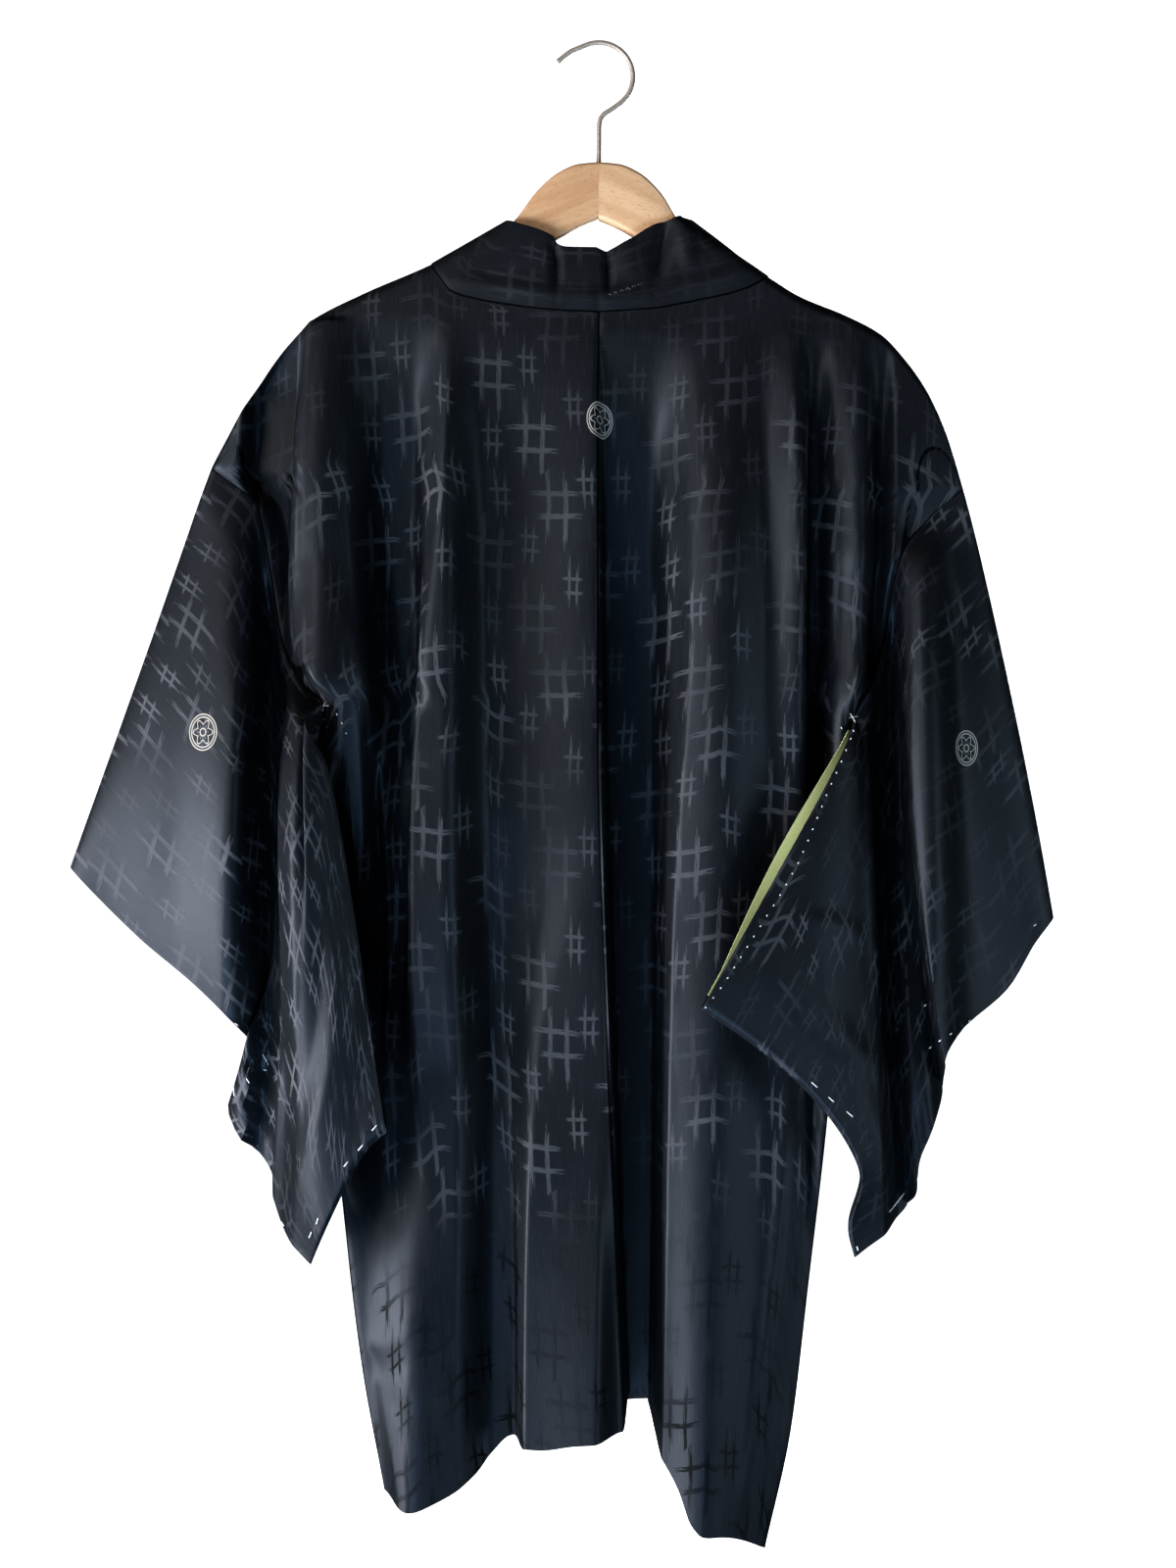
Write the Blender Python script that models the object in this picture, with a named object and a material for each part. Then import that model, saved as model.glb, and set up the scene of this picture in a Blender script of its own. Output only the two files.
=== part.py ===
"""A haori jacket hanging on a wooden hanger, in metres, +Z up.

The origin is the inside top of the hanger's hook. The garment's back faces -Y and its right side
is at +X when it is seen from behind. All tables are in millimetres.
"""

import bpy
import numpy as np

MM = 0.001

# Cloth and seams
CLOTH = 2.0  # wall of the body and the sleeves
BAND = 3.0  # the collar band is several layers
LINING = 1.0
SEAM = 0.3  # gap between pieces that are sewn together
ARMHOLE_SEAM = 1.3  # wider, because the sleeve turns sharply away from the body there

# Hanger
WOOD_HALF = 6.5  # half the thickness of the wood
WOOD_ROUND = 4.0
WOOD_TIP = 9.0  # the arm's end is rounded over this length
WOOD_TIP_SHRINKS = 0.45
WOOD_STATIONS = (8, 16, 24, 32, 40, 48, 56, 64, 77, 90, 122, 150, 180, 200)
WOOD_UNDER_CLOTH = 4.5  # the cloth's middle lies this far above the wood
WIRE_RADIUS = 1.4
HOOK_RADIUS = 25.2
STEM_END = -108.0
HOOK_TIP = ((-30.2, -12.5), (-26.5, -9.2), (-20.5, -4.6))  # (x, height) along the wire's middle
HOOK_NECK = ((13.2, -42.6), (7.5, -47.6), (2.6, -51.4), (0.6, -55.5), (0, -61.3), (0, -85))
STEM_HOLE = 2.0

# Body
FOLD_ROUND = 10.0  # how far down the cloth is rounded where it turns over the hanger
ROWS_ABOVE = (0, 0.015, 0.04, 0.075, 0.14, 0.25, 0.37, 0.5, 0.62, 0.74, 0.86, 0.95, 1)
ROWS_BELOW = (0.03, 0.1, 0.2, 0.31, 0.42, 0.53, 0.64, 0.75, 0.86, 1)
CENTRE_REACH = 0.23  # of the way to the hem, at the centre seam, where the side has its underarm
NECK_COLUMNS = 16
SIDE_COLUMNS = 13
COLLAR_COLUMNS = 4
EVENED_ROWS = 3  # columns follow the folds, averaged over this many rows either way
SHOULDER = len(ROWS_ABOVE) + len(ROWS_BELOW) - 1  # the grid's row along the ridge and the neckline
UNDERARM_ROW = len(ROWS_ABOVE) - 1  # counted from the shoulder

# Gussets
GUSSET_COLUMNS = 3
GUSSET_INSET = CLOTH / 2 + SEAM + 0.2
GUSSET_SINKS = 0.08  # its middle lies inwards by this share of its width

# Sleeves
SLEEVE_DROP = 490.0
SLEEVE_HALF = 7.0  # half the space between the sleeve's two layers
UNDERARM_GAP = 4.0  # the sleeve is drawn back this far at the underarm point
SLEEVE_LEAVES = 85.0  # how strongly the sleeve first runs straight out from the armhole
SEWN_HALF = 1.2  # the same where the cuff is sewn shut
CUFF_OPENING = 230.0
SLEEVE_COLUMNS = 9
LINING_SHOWS = 7.0
# From the underarm to the bottom edge, and how far the layers stand apart in the last rows
SLEEVE_ROWS = (0.07, 0.13, 0.18, 0.3, 0.45, 0.6, 0.75, 0.88, 0.96, 0.99, 1)
HEM_CAPS = (0.94, 0.75, 0.42, 0)

# The line where the cloth lies over the hanger and drops to the sleeve: (out from the middle, height)
RIDGE = {
    "left": ((0, -82.5), (15, -84), (30, -90.5), (45, -103.5), (64, -127.5), (90, -144.5), (122.4, -162),
             (173.5, -184.3), (211, -203.8), (226.8, -218.9), (241.2, -236.9), (258.5, -264.2),
             (272.9, -290.2), (284.4, -311)),
    "right": ((0, -82.5), (15, -84), (30, -90.5), (45, -104.5), (60, -127.4), (90, -149.5), (123.8, -171.4),
              (146.9, -185.8), (181.4, -200.2), (206.6, -213.8), (222.5, -230.4), (239, -253.4),
              (252.7, -282.2), (267.1, -326.9)),
}
ARM_END = {"left": 214.0, "right": 210.0}

# The neckline of the back: (out from the middle, height)
NECKLINE = {
    "left": ((0, -199.4), (33, -198), (67.7, -194), (92, -189.5), (108, -184), (116, -174),
             (120.5, -168), (122.4, -162)),
    "right": ((0, -199.4), (36.7, -197.3), (77, -190), (97, -185.5), (111, -180.5), (119, -176),
              (123, -173.5), (123.8, -171.4)),
}

# The side edge of the body: armhole to the gusset's top, then the gusset, then the hem:
# (height, out from the middle, middle's depth, half the space between back and front)
SIDE_EDGE = {
    "left": ((-311, 284.4, 0, 8.5), (-340, 251, 5, 8.5), (-395, 241, 14, 8), (-440, 232, 2, 7),
             (-471, 215, -13, 5), (-485, 200, -16, 3.5), (-600, 196, -12, 10), (-750, 193, -6, 18),
             (-880, 181, -3, 25), (-960, 171, 0, 29), (-1050, 154, 0, 33)),
    "right": ((-326.9, 267.1, 0, 8.5), (-345, 245, 2, 8.5), (-374, 222, -6, 8), (-400, 216, 6, 8),
              (-429, 212, 12, 7), (-455, 205, 2, 6), (-475, 196, -12, 5), (-494, 186, -16, 3.5),
              (-600, 181, -12, 10), (-785, 165, -5, 19), (-913, 150, 0, 26), (-1008, 138, 0, 30),
              (-1092, 119, 0, 33)),
}
UNDERARM = {"left": -485.0, "right": -494.0}

# The hem of the back and of the front: (share of the way from the middle to the side, height)
HEM_BACK = {
    "left": ((0, -1005), (0.2, -1009), (0.35, -1014), (0.45, -1014), (0.55, -1027), (0.62, -1039),
             (0.78, -1054), (0.9, -1060), (1, -1050)),
    "right": ((0, -1005), (0.12, -998), (0.16, -1012), (0.32, -1044), (0.41, -1066), (0.5, -1074),
              (0.63, -1076), (1, -1092)),
}
HEM_FRONT = {
    "left": ((0, -1008), (0.43, -1010), (0.7, -1024), (1, -1050)),
    "right": ((0, -1008), (0.43, -1012), (0.7, -1044), (1, -1092)),
}

# The centre-back seam: (height, x). The front edges where the collar is sewn: (height, out from the middle)
CENTRE_SEAM = ((-199, 0), (-270, -1), (-500, -1), (-685, 4), (-900, 13), (-1100, 25))
FRONT_SEAM = {
    "left": ((-162, 122.4), (-300, 110), (-600, 95), (-1010, 77)),
    "right": ((-171.4, 123.8), (-300, 112), (-600, 96), (-1010, 79)),
}

# How far the middle of the back and of the front stand from the hanger's plane: (height, depth)
BACK_DEPTH = ((-82, 8.5), (-130, 10), (-160, 12), (-199, 16), (-311, 26), (-485, 31), (-750, 36), (-1080, 46))
FRONT_DEPTH = ((-82, 8.5), (-130, 10), (-199, 14), (-311, 24), (-485, 36), (-750, 54), (-1080, 72))

# Folds: a row is one raised panel, or a trough where its heights are negative. It runs from top to
# bottom between a left and a right edge, each with its x at the top, the middle and the bottom and
# with a softness, and stands out by its height at the top, the middle and the bottom.
FOLD_NAMES = ("top", "bottom", "left", "left_soft", "right", "right_soft", "height")
BACK_FOLDS = (
    # from the left end of the hanger
    (-215, -600, (-226, -228, -226), 9, (-172, -168, -166), 18, (0, 22, 0)),
    # beside it, sharp on its left
    (-270, -760, (-132, -136, -142), 7, (-100, -98, -96), 20, (0, 26, 0)),
    # beside the centre seam, sharp on its right
    (-230, -1100, (-66, -60, -56), 22, (-1, 6, 27), 6, (0, 28, 20)),
    # the deep fold right of the centre seam
    (-270, -1100, (1, 9, 30), 6, (44, 38, 38), 14, (0, -60, -88)),
    # the bright ridge right of it
    (-270, -1100, (46, 38, 40), 13, (84, 80, 98), 26, (0, 30, 28)),
    # three small ones towards the right armhole
    (-240, -620, (112, 118, 122), 16, (152, 151, 150), 15, (0, 17, 0)),
    (-290, -610, (156, 159, 161), 13, (176, 175, 174), 13, (0, -14, 0)),
    (-270, -560, (182, 179, 176), 14, (208, 203, 198), 14, (0, 10, 0)),
    # the low left corner of the hem
    (-820, -1100, (-188, -182, -176), 14, (-106, -108, -112), 26, (0, 8, 4)),
)
FRONT_FOLDS = (
    (-220, -1100, (-214, -176, -150), 12, (-178, -148, -126), 16, (0, 18, 18)),
    (-240, -1100, (-152, -132, -116), 10, (-130, -110, -97), 12, (0, -18, -28)),
    (-220, -1100, (174, 146, 122), 14, (208, 176, 144), 12, (0, 18, 16)),
    (-240, -1100, (126, 108, 93), 12, (150, 130, 114), 10, (0, -18, -26)),
)

# Sleeves: a row is one line across the cloth, from the armhole or the open inner edge to the cuff:
# (drop along the cloth, inner end x y z, middle x y z, cuff end x y z)
SLEEVE_LINES = {
    "left": (
        (0, -284.4, 0, -311, -336, -5, -462, -388, 0, -604),
        (110, -251, 5, -340, -294, -12, -507, -343, 2, -654),
        (200, -241, 14, -395, -250, 26, -543, -262, 12, -733),
        (225, -232, 2, -440, -231, -34, -578, -243, -22, -741),
        (262, -215, -13, -471, -221, -46, -612, -274, 16, -782),
        (300, -200, -16, -485, -208, -50, -650, -246, -10, -823),
        (315, -208, -34, -497, -204, -51, -668, -241, -12, -832),
        (345, -194, -43, -530, -196, -52, -697, -236, -16, -845),
        (400, -172, -47, -650, -186, -54, -750, -228, -22, -862),
        (490, -149, -50, -787, -176, -48, -824, -205, -30, -884),
    ),
    "right": (
        (0, 267.1, 0, -326.9, 303, -3, -482, 334, 1, -641),
        (45, 256, 1, -336, 286, -8, -501, 320, 0, -658),
        (90, 245, 2, -345, 266, -14, -520, 300, -4, -690),
        (170, 222, -6, -374, 221, -34, -545, 246, -26, -741),
        (200, 212, 12, -429, 224, 18, -585, 251, 12, -764),
        (235, 196, -12, -475, 208, -18, -618, 240, -4, -796),
        (270, 186, -16, -494, 199, -32, -640, 232, -14, -821),
        (285, 194, -34, -506, 190, -38, -655, 231, -17, -828),
        (315, 172, -46, -534, 182, -46, -675, 230, -20, -838),
        (390, 123.6, -64, -601.5, 168, -58, -715, 226, -24, -851),
        (490, 70, -93, -698, 173, -52, -795, 192, -38, -884),
    ),
}

# Collar
COLLAR_WIDTH = 64.0
COLLAR_SETTLES = 80.0  # below the shoulder, the band has its full width after this drop
COLLAR_DRAWN_IN = 9.0
COLLAR_LEAN = 4.0  # its free edge stands this far in front of its seam
COLLAR_DEEPEST = 60.0
COLLAR_CLEAR = 9.5  # the band stays this far from the hanger's middle
COLLAR_PEAK = {"left": 32.0, "right": 43.0}
# The collar behind the neck: (seam's x out from the middle, free edge's x, free edge's height)
COLLAR_NECK = {
    "left": ((0, 2, -152.8), (33, 31.7, -150), (67.7, 46.8, -136.4), (92, 57, -133.6), (108, 62, -132),
             (116, 65, -131.2), (120.5, 67, -130.8), (122.4, 67.7, -129.9)),
    "right": ((0, -2, -152.8), (36.7, 20, -149), (77, 42.5, -133.6), (97, 51, -131.6), (111, 56, -129.6),
              (119, 58.5, -128.4), (123, 59.3, -127.8), (123.8, 59.8, -127.2)),
}

# The underside of the hanger: (out from the middle, height)
WOOD_UNDER = ((0, -128.5), (12, -133.5), (31.7, -144.5), (90, -172), (160, -206), (205, -229), (219, -232))

# Colour, roughness and metallic of each finish
MATERIALS = {
    "silk": ((0.012, 0.014, 0.018), 0.45, 0.0),
    "lining": ((0.45, 0.60, 0.18), 0.6, 0.0),
    "beech": ((0.72, 0.47, 0.26), 0.45, 0.0),
    "steel": ((0.45, 0.42, 0.38), 0.3, 1.0),
}


def material(name):
    colour, roughness, metallic = MATERIALS[name]
    made = bpy.data.materials.new(name)
    made.use_nodes = True
    shader = made.node_tree.nodes["Principled BSDF"]
    shader.inputs["Base Color"].default_value = (*colour, 1)
    shader.inputs["Roughness"].default_value = roughness
    shader.inputs["Metallic"].default_value = metallic
    return made


def add_piece(name, points, faces, finish):
    """Makes one object from points in millimetres and its faces."""
    mesh = bpy.data.meshes.new(name)
    mesh.from_pydata((np.asarray(points) * MM).tolist(), [], [tuple(map(int, face)) for face in faces])
    mesh.materials.append(finish)
    mesh.shade_smooth()
    mesh.set_sharp_from_angle(angle=0.7)
    piece = bpy.data.objects.new(name, mesh)
    bpy.context.collection.objects.link(piece)
    return piece


def curve(at, stations, values):
    """Monotone cubic curve through (station, value) rows; it never overshoots a row."""
    stations = np.asarray(stations, float)
    values = np.asarray(values, float)
    at = np.clip(np.asarray(at, float), stations.min(), stations.max())
    order = np.argsort(stations)
    stations, values = stations[order], values[order]
    flat = values.reshape(len(stations), -1)
    step = np.diff(stations)[:, None]
    slope = np.diff(flat, axis=0) / step
    same = slope[:-1] * slope[1:] > 0
    total = np.where(same, slope[:-1] + slope[1:], 1)
    tangent = np.vstack([slope[:1], np.where(same, 2 * slope[:-1] * slope[1:] / total, 0), slope[-1:]])
    cell = np.clip(np.searchsorted(stations, at, side="right") - 1, 0, len(stations) - 2)
    width = step[cell, 0]
    t = ((at - stations[cell]) / width)[..., None]
    start, end = flat[cell], flat[cell + 1]
    out = (start * (1 + 2 * t) * (1 - t) ** 2 + end * t * t * (3 - 2 * t)
           + width[..., None] * (tangent[cell] * t * (1 - t) ** 2 - tangent[cell + 1] * t * t * (1 - t)))
    return out.reshape(at.shape + values.shape[1:])


def table_curve(at, rows):
    """The curve through a table whose first column is the station."""
    rows = np.asarray(rows, float)
    return curve(at, rows[:, 0], rows[:, 1] if rows.shape[1] == 2 else rows[:, 1:])


def ease(t):
    t = np.clip(t, 0, 1)
    return t * t * (3 - 2 * t)


def fold_height(x, z, folds):
    """Sum of the raised panels: between its two edges each is at its height, with soft flanks."""
    total = np.zeros_like(x)
    for row in folds:
        fold = dict(zip(FOLD_NAMES, row))
        down = (fold["top"] - z) / (fold["top"] - fold["bottom"])
        left, right, height = (curve(down, (0, 0.5, 1), fold[key]) for key in ("left", "right", "height"))
        rise = ease(0.5 + (x - left) / (2 * fold["left_soft"]))
        fall = ease(0.5 + (right - x) / (2 * fold["right_soft"]))
        inside = (down > 0) & ((down < 1) | (fold["height"][2] != 0))
        total += np.where(inside, height, 0) * rise * fall
    return total


def sign(side):
    return -1.0 if side == "left" else 1.0


def cap(drop):
    """Share of the full depth at a drop below the ridge: a quarter of an ellipse."""
    t = np.clip(drop / FOLD_ROUND, 0, 1)
    return np.sqrt(1 - (1 - t) ** 2)


def body_depth(side, face, x, z, share):
    """y of the back or the front at (x, z); share runs from 0 at the middle to 1 at the side."""
    middle = table_curve(z, BACK_DEPTH if face == "back" else FRONT_DEPTH)
    edge = table_curve(z, SIDE_EDGE[side])
    near_side = share ** 4
    depth = middle + (edge[..., 2] - middle) * near_side
    folds = fold_height(x, z, BACK_FOLDS if face == "back" else FRONT_FOLDS)
    depth = depth + folds * ease((1 - share) / 0.12)
    drop = table_curve(np.abs(x), RIDGE[side]) - z
    facing = -1 if face == "back" else 1
    return edge[..., 1] * share ** 6 + facing * depth * cap(drop)


def body_row(side, face, down, shares, below):
    """One row of the body at a share of the way from its top to its hem, at the given shares across."""
    side_x = SIDE_EDGE[side][0][1]
    neck_share = NECKLINE[side][-1][0] / side_x
    top = table_curve(shares * side_x, RIDGE[side])
    if face == "back":
        neck = table_curve(shares * side_x, NECKLINE[side])
        top = np.where(shares < neck_share, neck, top)
    hem = table_curve(shares, HEM_BACK[side] if face == "back" else HEM_FRONT[side])
    side_reach = (SIDE_EDGE[side][0][0] - UNDERARM[side]) / (SIDE_EDGE[side][0][0] - SIDE_EDGE[side][-1][0])
    reach = CENTRE_REACH + (side_reach - CENTRE_REACH) * shares
    way = reach + (1 - reach) * down if below else reach * down
    z = top + (hem - top) * way
    side_edge = table_curve(z, SIDE_EDGE[side])[..., 0]
    if face == "back":
        centre = table_curve(z, CENTRE_SEAM)
        x = centre + (sign(side) * side_edge - centre) * shares
    else:
        seam = table_curve(z, FRONT_SEAM[side])
        across = (shares - neck_share) / (1 - neck_share)
        x = sign(side) * (seam + (side_edge - seam) * across)
    return np.stack([x, body_depth(side, face, x, z, shares), z], axis=-1)


def spaced(side, face, steps, start, end, count):
    """Shares across for every row: even distances along the cloth, evened out from row to row."""
    fine = np.linspace(start, end, 160)
    shares = []
    for down, below in steps:
        row = body_row(side, face, down, fine, below)
        length = np.concatenate([[0], np.cumsum(np.linalg.norm(np.diff(row, axis=0), axis=1))])
        shares.append(np.interp(np.linspace(0, length[-1], count + 1), length, fine))
    padded = np.pad(shares, ((EVENED_ROWS, EVENED_ROWS), (0, 0)), mode="edge")
    windows = [padded[shift:shift + len(steps)] for shift in range(2 * EVENED_ROWS + 1)]
    return np.mean(windows, axis=0)


def body_grid(side):
    """Rows from the back hem over the shoulder to the front hem; columns from the middle to the side."""
    neck_share = NECKLINE[side][-1][0] / SIDE_EDGE[side][0][1]
    steps = [(down, False) for down in ROWS_ABOVE] + [(down, True) for down in ROWS_BELOW]
    grid = np.zeros((2 * len(steps) - 1, NECK_COLUMNS + SIDE_COLUMNS + 1, 3))
    for face, turn in (("back", -1), ("front", 1)):
        outer = spaced(side, face, steps, neck_share, 1, SIDE_COLUMNS)
        inner = spaced(side, face, steps, 0, neck_share, NECK_COLUMNS) if face == "back" else None
        for index, (down, below) in enumerate(steps):
            row = grid[SHOULDER + turn * index]
            row[NECK_COLUMNS:] = body_row(side, face, down, outer[index], below)
            if face == "back":
                row[:NECK_COLUMNS] = body_row(side, face, down, inner[index][:-1], below)
    return grid


def signed_volume(points, faces):
    total = 0.0
    for face in faces:
        for b, c in zip(face[1:], face[2:]):
            total += np.dot(points[face[0]], np.cross(points[b], points[c]))
    return total


class Cloth:
    """A cloth through a grid of points: its middle, its thickness, and which of its cells are cloth."""

    def __init__(self, name, grid, thickness, finish, cells=None, wrap=False):
        self.name, self.thickness, self.finish = name, thickness, finish
        self.shape = grid.shape[:2]
        self.points = grid.reshape(-1, 3).copy()
        self.index = np.arange(len(self.points)).reshape(self.shape)
        after = np.roll(self.index, -1, axis=0) if wrap else self.index[1:]
        before = self.index if wrap else self.index[:-1]
        quads = np.stack([before[:, :-1], before[:, 1:], after[:, 1:], after[:, :-1]], axis=-1)
        self.quads = quads[cells] if cells is not None else quads.reshape(-1, 4)
        corners = self.points[self.quads]
        facing = np.cross(corners[:, 2] - corners[:, 0], corners[:, 3] - corners[:, 1])
        self.normal = np.zeros_like(self.points)
        np.add.at(self.normal, self.quads.reshape(-1), np.repeat(facing, 4, axis=0))
        self.normal /= np.maximum(np.linalg.norm(self.normal, axis=1), 1e-9)[:, None]

    def move_along(self, rim, beside, gap):
        """Moves the rim's points along the cloth towards the points beside them."""
        away = self.points[beside] - self.points[rim]
        self.points[rim] += away / np.maximum(np.linalg.norm(away, axis=1), 1e-9)[:, None] * gap

    def build(self):
        """A closed solid: two skins half the thickness either way, joined round every free edge."""
        outer = self.points + self.normal * self.thickness / 2
        inner = self.points - self.normal * self.thickness / 2
        count = len(self.points)
        edges = np.concatenate([self.quads[:, [a, (a + 1) % 4]] for a in range(4)]).tolist()
        known = {tuple(edge) for edge in edges}
        faces = self.quads.tolist() + (self.quads[:, ::-1] + count).tolist()
        faces += [(b, a, a + count, b + count) for a, b in edges if (b, a) not in known]
        points = np.concatenate([outer, inner])
        used = np.unique(np.concatenate([np.asarray(face) for face in faces]))
        place = np.full(len(points), -1)
        place[used] = np.arange(len(used))
        faces = [tuple(place[list(face)]) for face in faces]
        piece = add_piece(self.name, points[used], faces, self.finish)
        if signed_volume(points[used], faces) < 0:
            piece.data.flip_normals()
        return piece


def sew(moved, rim, beside, fixed, fixed_rim, gap=SEAM):
    """Gives two cloths one shared turn along their seam and draws the moved one back by the gap."""
    other = fixed.normal[fixed_rim]
    own = moved.normal[rim]
    other *= np.where((own * other).sum(axis=1) < 0, -1, 1)[:, None]
    shared = own + other
    shared /= np.linalg.norm(shared, axis=1)[:, None]
    back = np.where((fixed.normal[fixed_rim] * shared).sum(axis=1) < 0, -1, 1)[:, None]
    moved.normal[rim] = shared
    fixed.normal[fixed_rim] = shared * back
    moved.move_along(rim, beside, gap)


def body_cloth(side, finish):
    grid = body_grid(side)
    cells = np.ones((grid.shape[0] - 1, grid.shape[1] - 1), bool)
    cells[SHOULDER:, :NECK_COLUMNS] = False
    return Cloth("body_" + side, grid, CLOTH, finish, cells)


def gusset_cloth(side, grid, finish):
    """The narrow strip from the underarm to the hem, between the side edges of the back and the front."""
    start = SHOULDER + UNDERARM_ROW
    front = grid[start:, -1]
    back = grid[::-1][start:, -1]
    room = np.linalg.norm(front - back, axis=1)
    shares = np.linspace(0, 1, GUSSET_COLUMNS + 1)
    strip = back[:, None] + (front - back)[:, None] * shares[None, :, None]
    pull = np.minimum(GUSSET_INSET, room / 2 - 0.6)[:, None] / room[:, None] * (front - back)
    strip[:, 0] += pull
    strip[:, -1] -= pull
    strip[:, 1:-1, 0] -= sign(side) * GUSSET_SINKS * room[:, None]
    strip[..., 0] -= sign(side) * CLOTH / 2
    strip[0] += (strip[1] - strip[0]) * 0.5
    return Cloth("machi_" + side, strip, CLOTH, finish)


def sleeve_lines(side, drops):
    rows = np.asarray(SLEEVE_LINES[side], float)
    return curve(drops, rows[:, 0], rows[:, 1:]).reshape(len(drops), 3, 3)


def sleeve_parts(side, grid):
    """Middle line and half gap of every sleeve row; the first rows start at the armhole's own points."""
    back = grid[::-1][SHOULDER:SHOULDER + UNDERARM_ROW + 1, -1]
    front = grid[SHOULDER:SHOULDER + UNDERARM_ROW + 1, -1]
    rows = np.asarray(SLEEVE_LINES[side], float)
    under = rows[np.argmax(rows[:, 3] <= UNDERARM[side]), 0]
    fine = np.linspace(0, under, 400)
    above = np.interp(-back[:, 2], -curve(fine, rows[:, 0], rows[:, 3]), fine)
    above[0], above[-1] = 0, under
    drops = np.concatenate([above, under + (SLEEVE_DROP - under) * np.array(SLEEVE_ROWS)])
    ends = sleeve_lines(side, drops)
    ends[:len(above), 0] = (back + front) / 2
    fall = np.asarray(ROWS_ABOVE) * (back[0, 2] - back[-1, 2])
    caps = np.concatenate([cap(fall), np.ones(len(SLEEVE_ROWS))])
    caps[-4:] = HEM_CAPS
    share = np.linspace(0, 1, SLEEVE_COLUMNS + 1)[None, :, None]
    start, middle, cuff = (ends[:, i][:, None] for i in range(3))
    line = start * (1 - share) * (1 - 2 * share) + 4 * middle * share * (1 - share)
    line = line + cuff * share * (2 * share - 1)
    share = share[..., 0]
    seam_line = ends[len(above) - 1, 0] - ends[0, 0]
    outward = np.array([seam_line[2], 0, -seam_line[0]]) / np.linalg.norm(seam_line) * -sign(side)
    leave = np.sin(0.8 * np.pi * np.clip(drops / under, 0, 1)) ** 0.5
    line += SLEEVE_LEAVES * (leave[:, None] * share * (1 - share) ** 4)[..., None] * outward
    armhole = SLEEVE_HALF * caps
    armhole[:len(above)] = (front - back)[:, 1] / 2
    armhole[len(above)] = SLEEVE_HALF * 0.65
    sewn = ease((drops - CUFF_OPENING) / 25)[:, None] * ease((share - 0.8) / 0.2)
    inside = (SLEEVE_HALF + (SEWN_HALF - SLEEVE_HALF) * sewn) * caps[:, None]
    half = inside + (armhole[:, None] - inside) * ease(1 - share / 0.25)
    half[1:-1] = np.maximum(half[1:-1], np.minimum(SEWN_HALF, 0.7 + caps[1:-1, None]))
    return line, half


def sleeve_layers(side, grid):
    line, half = sleeve_parts(side, grid)
    back, front = line.copy(), line.copy()
    back[..., 1] -= half
    front[..., 1] += half
    if side == "right":
        way = np.clip((np.arange(len(line)) - UNDERARM_ROW) / (len(line) - 1.0 - UNDERARM_ROW), 0, 1)
        front[:, 0, 0] -= np.sin(np.pi * way) * LINING_SHOWS
    return back, front


def sleeve_cloth(side, back, front, finish):
    """A flattened tube: the back layer from the top fold down, the front layer back up again."""
    loop = np.concatenate([back, front[-2:0:-1]])
    return Cloth("sleeve_" + side, loop, CLOTH, finish, wrap=True)


def lining_cloth(front, finish):
    """The lining's strip along the open inner edge, lying on the inside of the front layer."""
    rows = front[UNDERARM_ROW + 3:-3]
    shares = np.linspace(0, 1, 4)[None, :, None]
    strip = rows[:, 0][:, None] + (rows[:, 1] - rows[:, 0])[:, None] * shares
    strip[..., 1] -= CLOTH / 2 + SEAM + LINING / 2 + 1.0
    return Cloth("sleeve_lining_right", strip, LINING, finish)


def collar_free_edge(side, seam, part):
    """The collar's free edge opposite each point of its seam, at the neck or down the front."""
    if part == "neck":
        out = np.abs(seam[:, 0])
        rows = COLLAR_NECK[side]
        x = sign(side) * table_curve(out, [(row[0], row[1]) for row in rows])
        z = table_curve(out, [(row[0], row[2]) for row in rows])
        drop = table_curve(np.abs(x), RIDGE[side]) - z
        depth = table_curve(z, BACK_DEPTH)
        return np.stack([x, -depth * cap(np.maximum(drop, 0)), z], axis=-1)
    settled = ease((seam[0, 2] - seam[:, 2]) / COLLAR_SETTLES)
    x = seam[:, 0] - sign(side) * (COLLAR_WIDTH - COLLAR_DRAWN_IN * (1 - settled))
    z = seam[:, 2] + COLLAR_PEAK[side] * (1 - settled) ** 1.5
    drop = np.maximum(table_curve(np.abs(x), RIDGE[side]) - z, 0)
    lean = seam[:, 1] + COLLAR_LEAN * settled
    return np.stack([x, np.minimum(lean, COLLAR_DEEPEST) * cap(drop), z], axis=-1)


def collar_cloth(grids, finish):
    """One long band whose seam follows the fronts and the neckline; also the body points it is sewn to."""
    seams, frees, ids = [], [], []
    for side in ("left", "right"):
        grid = grids[side]
        index = np.arange(grid.shape[0] * grid.shape[1]).reshape(grid.shape[:2])
        neck, front = grid[SHOULDER, :NECK_COLUMNS + 1], grid[SHOULDER:, NECK_COLUMNS]
        free = [collar_free_edge(side, neck, "neck"), collar_free_edge(side, front, "front")[1:]]
        seams.append(np.concatenate([neck, front[1:]]))
        frees.append(np.concatenate(free))
        ids.append(np.concatenate([index[SHOULDER, :NECK_COLUMNS + 1], index[SHOULDER + 1:, NECK_COLUMNS]]))
    seam = np.concatenate([seams[0][:0:-1], seams[1]])
    free = np.concatenate([frees[0][:0:-1], frees[1]])
    shares = np.linspace(0, 1, COLLAR_COLUMNS + 1)[None, :, None]
    band = seam[:, None] + (free - seam)[:, None] * shares
    out = np.abs(band[..., 0])
    ridge = np.where(band[..., 0] < 0, table_curve(out, RIDGE["left"]), table_curve(out, RIDGE["right"]))
    over = COLLAR_CLEAR * cap(ridge - band[..., 2])
    band[..., 1] = np.sign(band[..., 1]) * np.maximum(np.abs(band[..., 1]), over)
    band[:, 0] = seam
    return Cloth("collar", band, BAND, finish), ids


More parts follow.
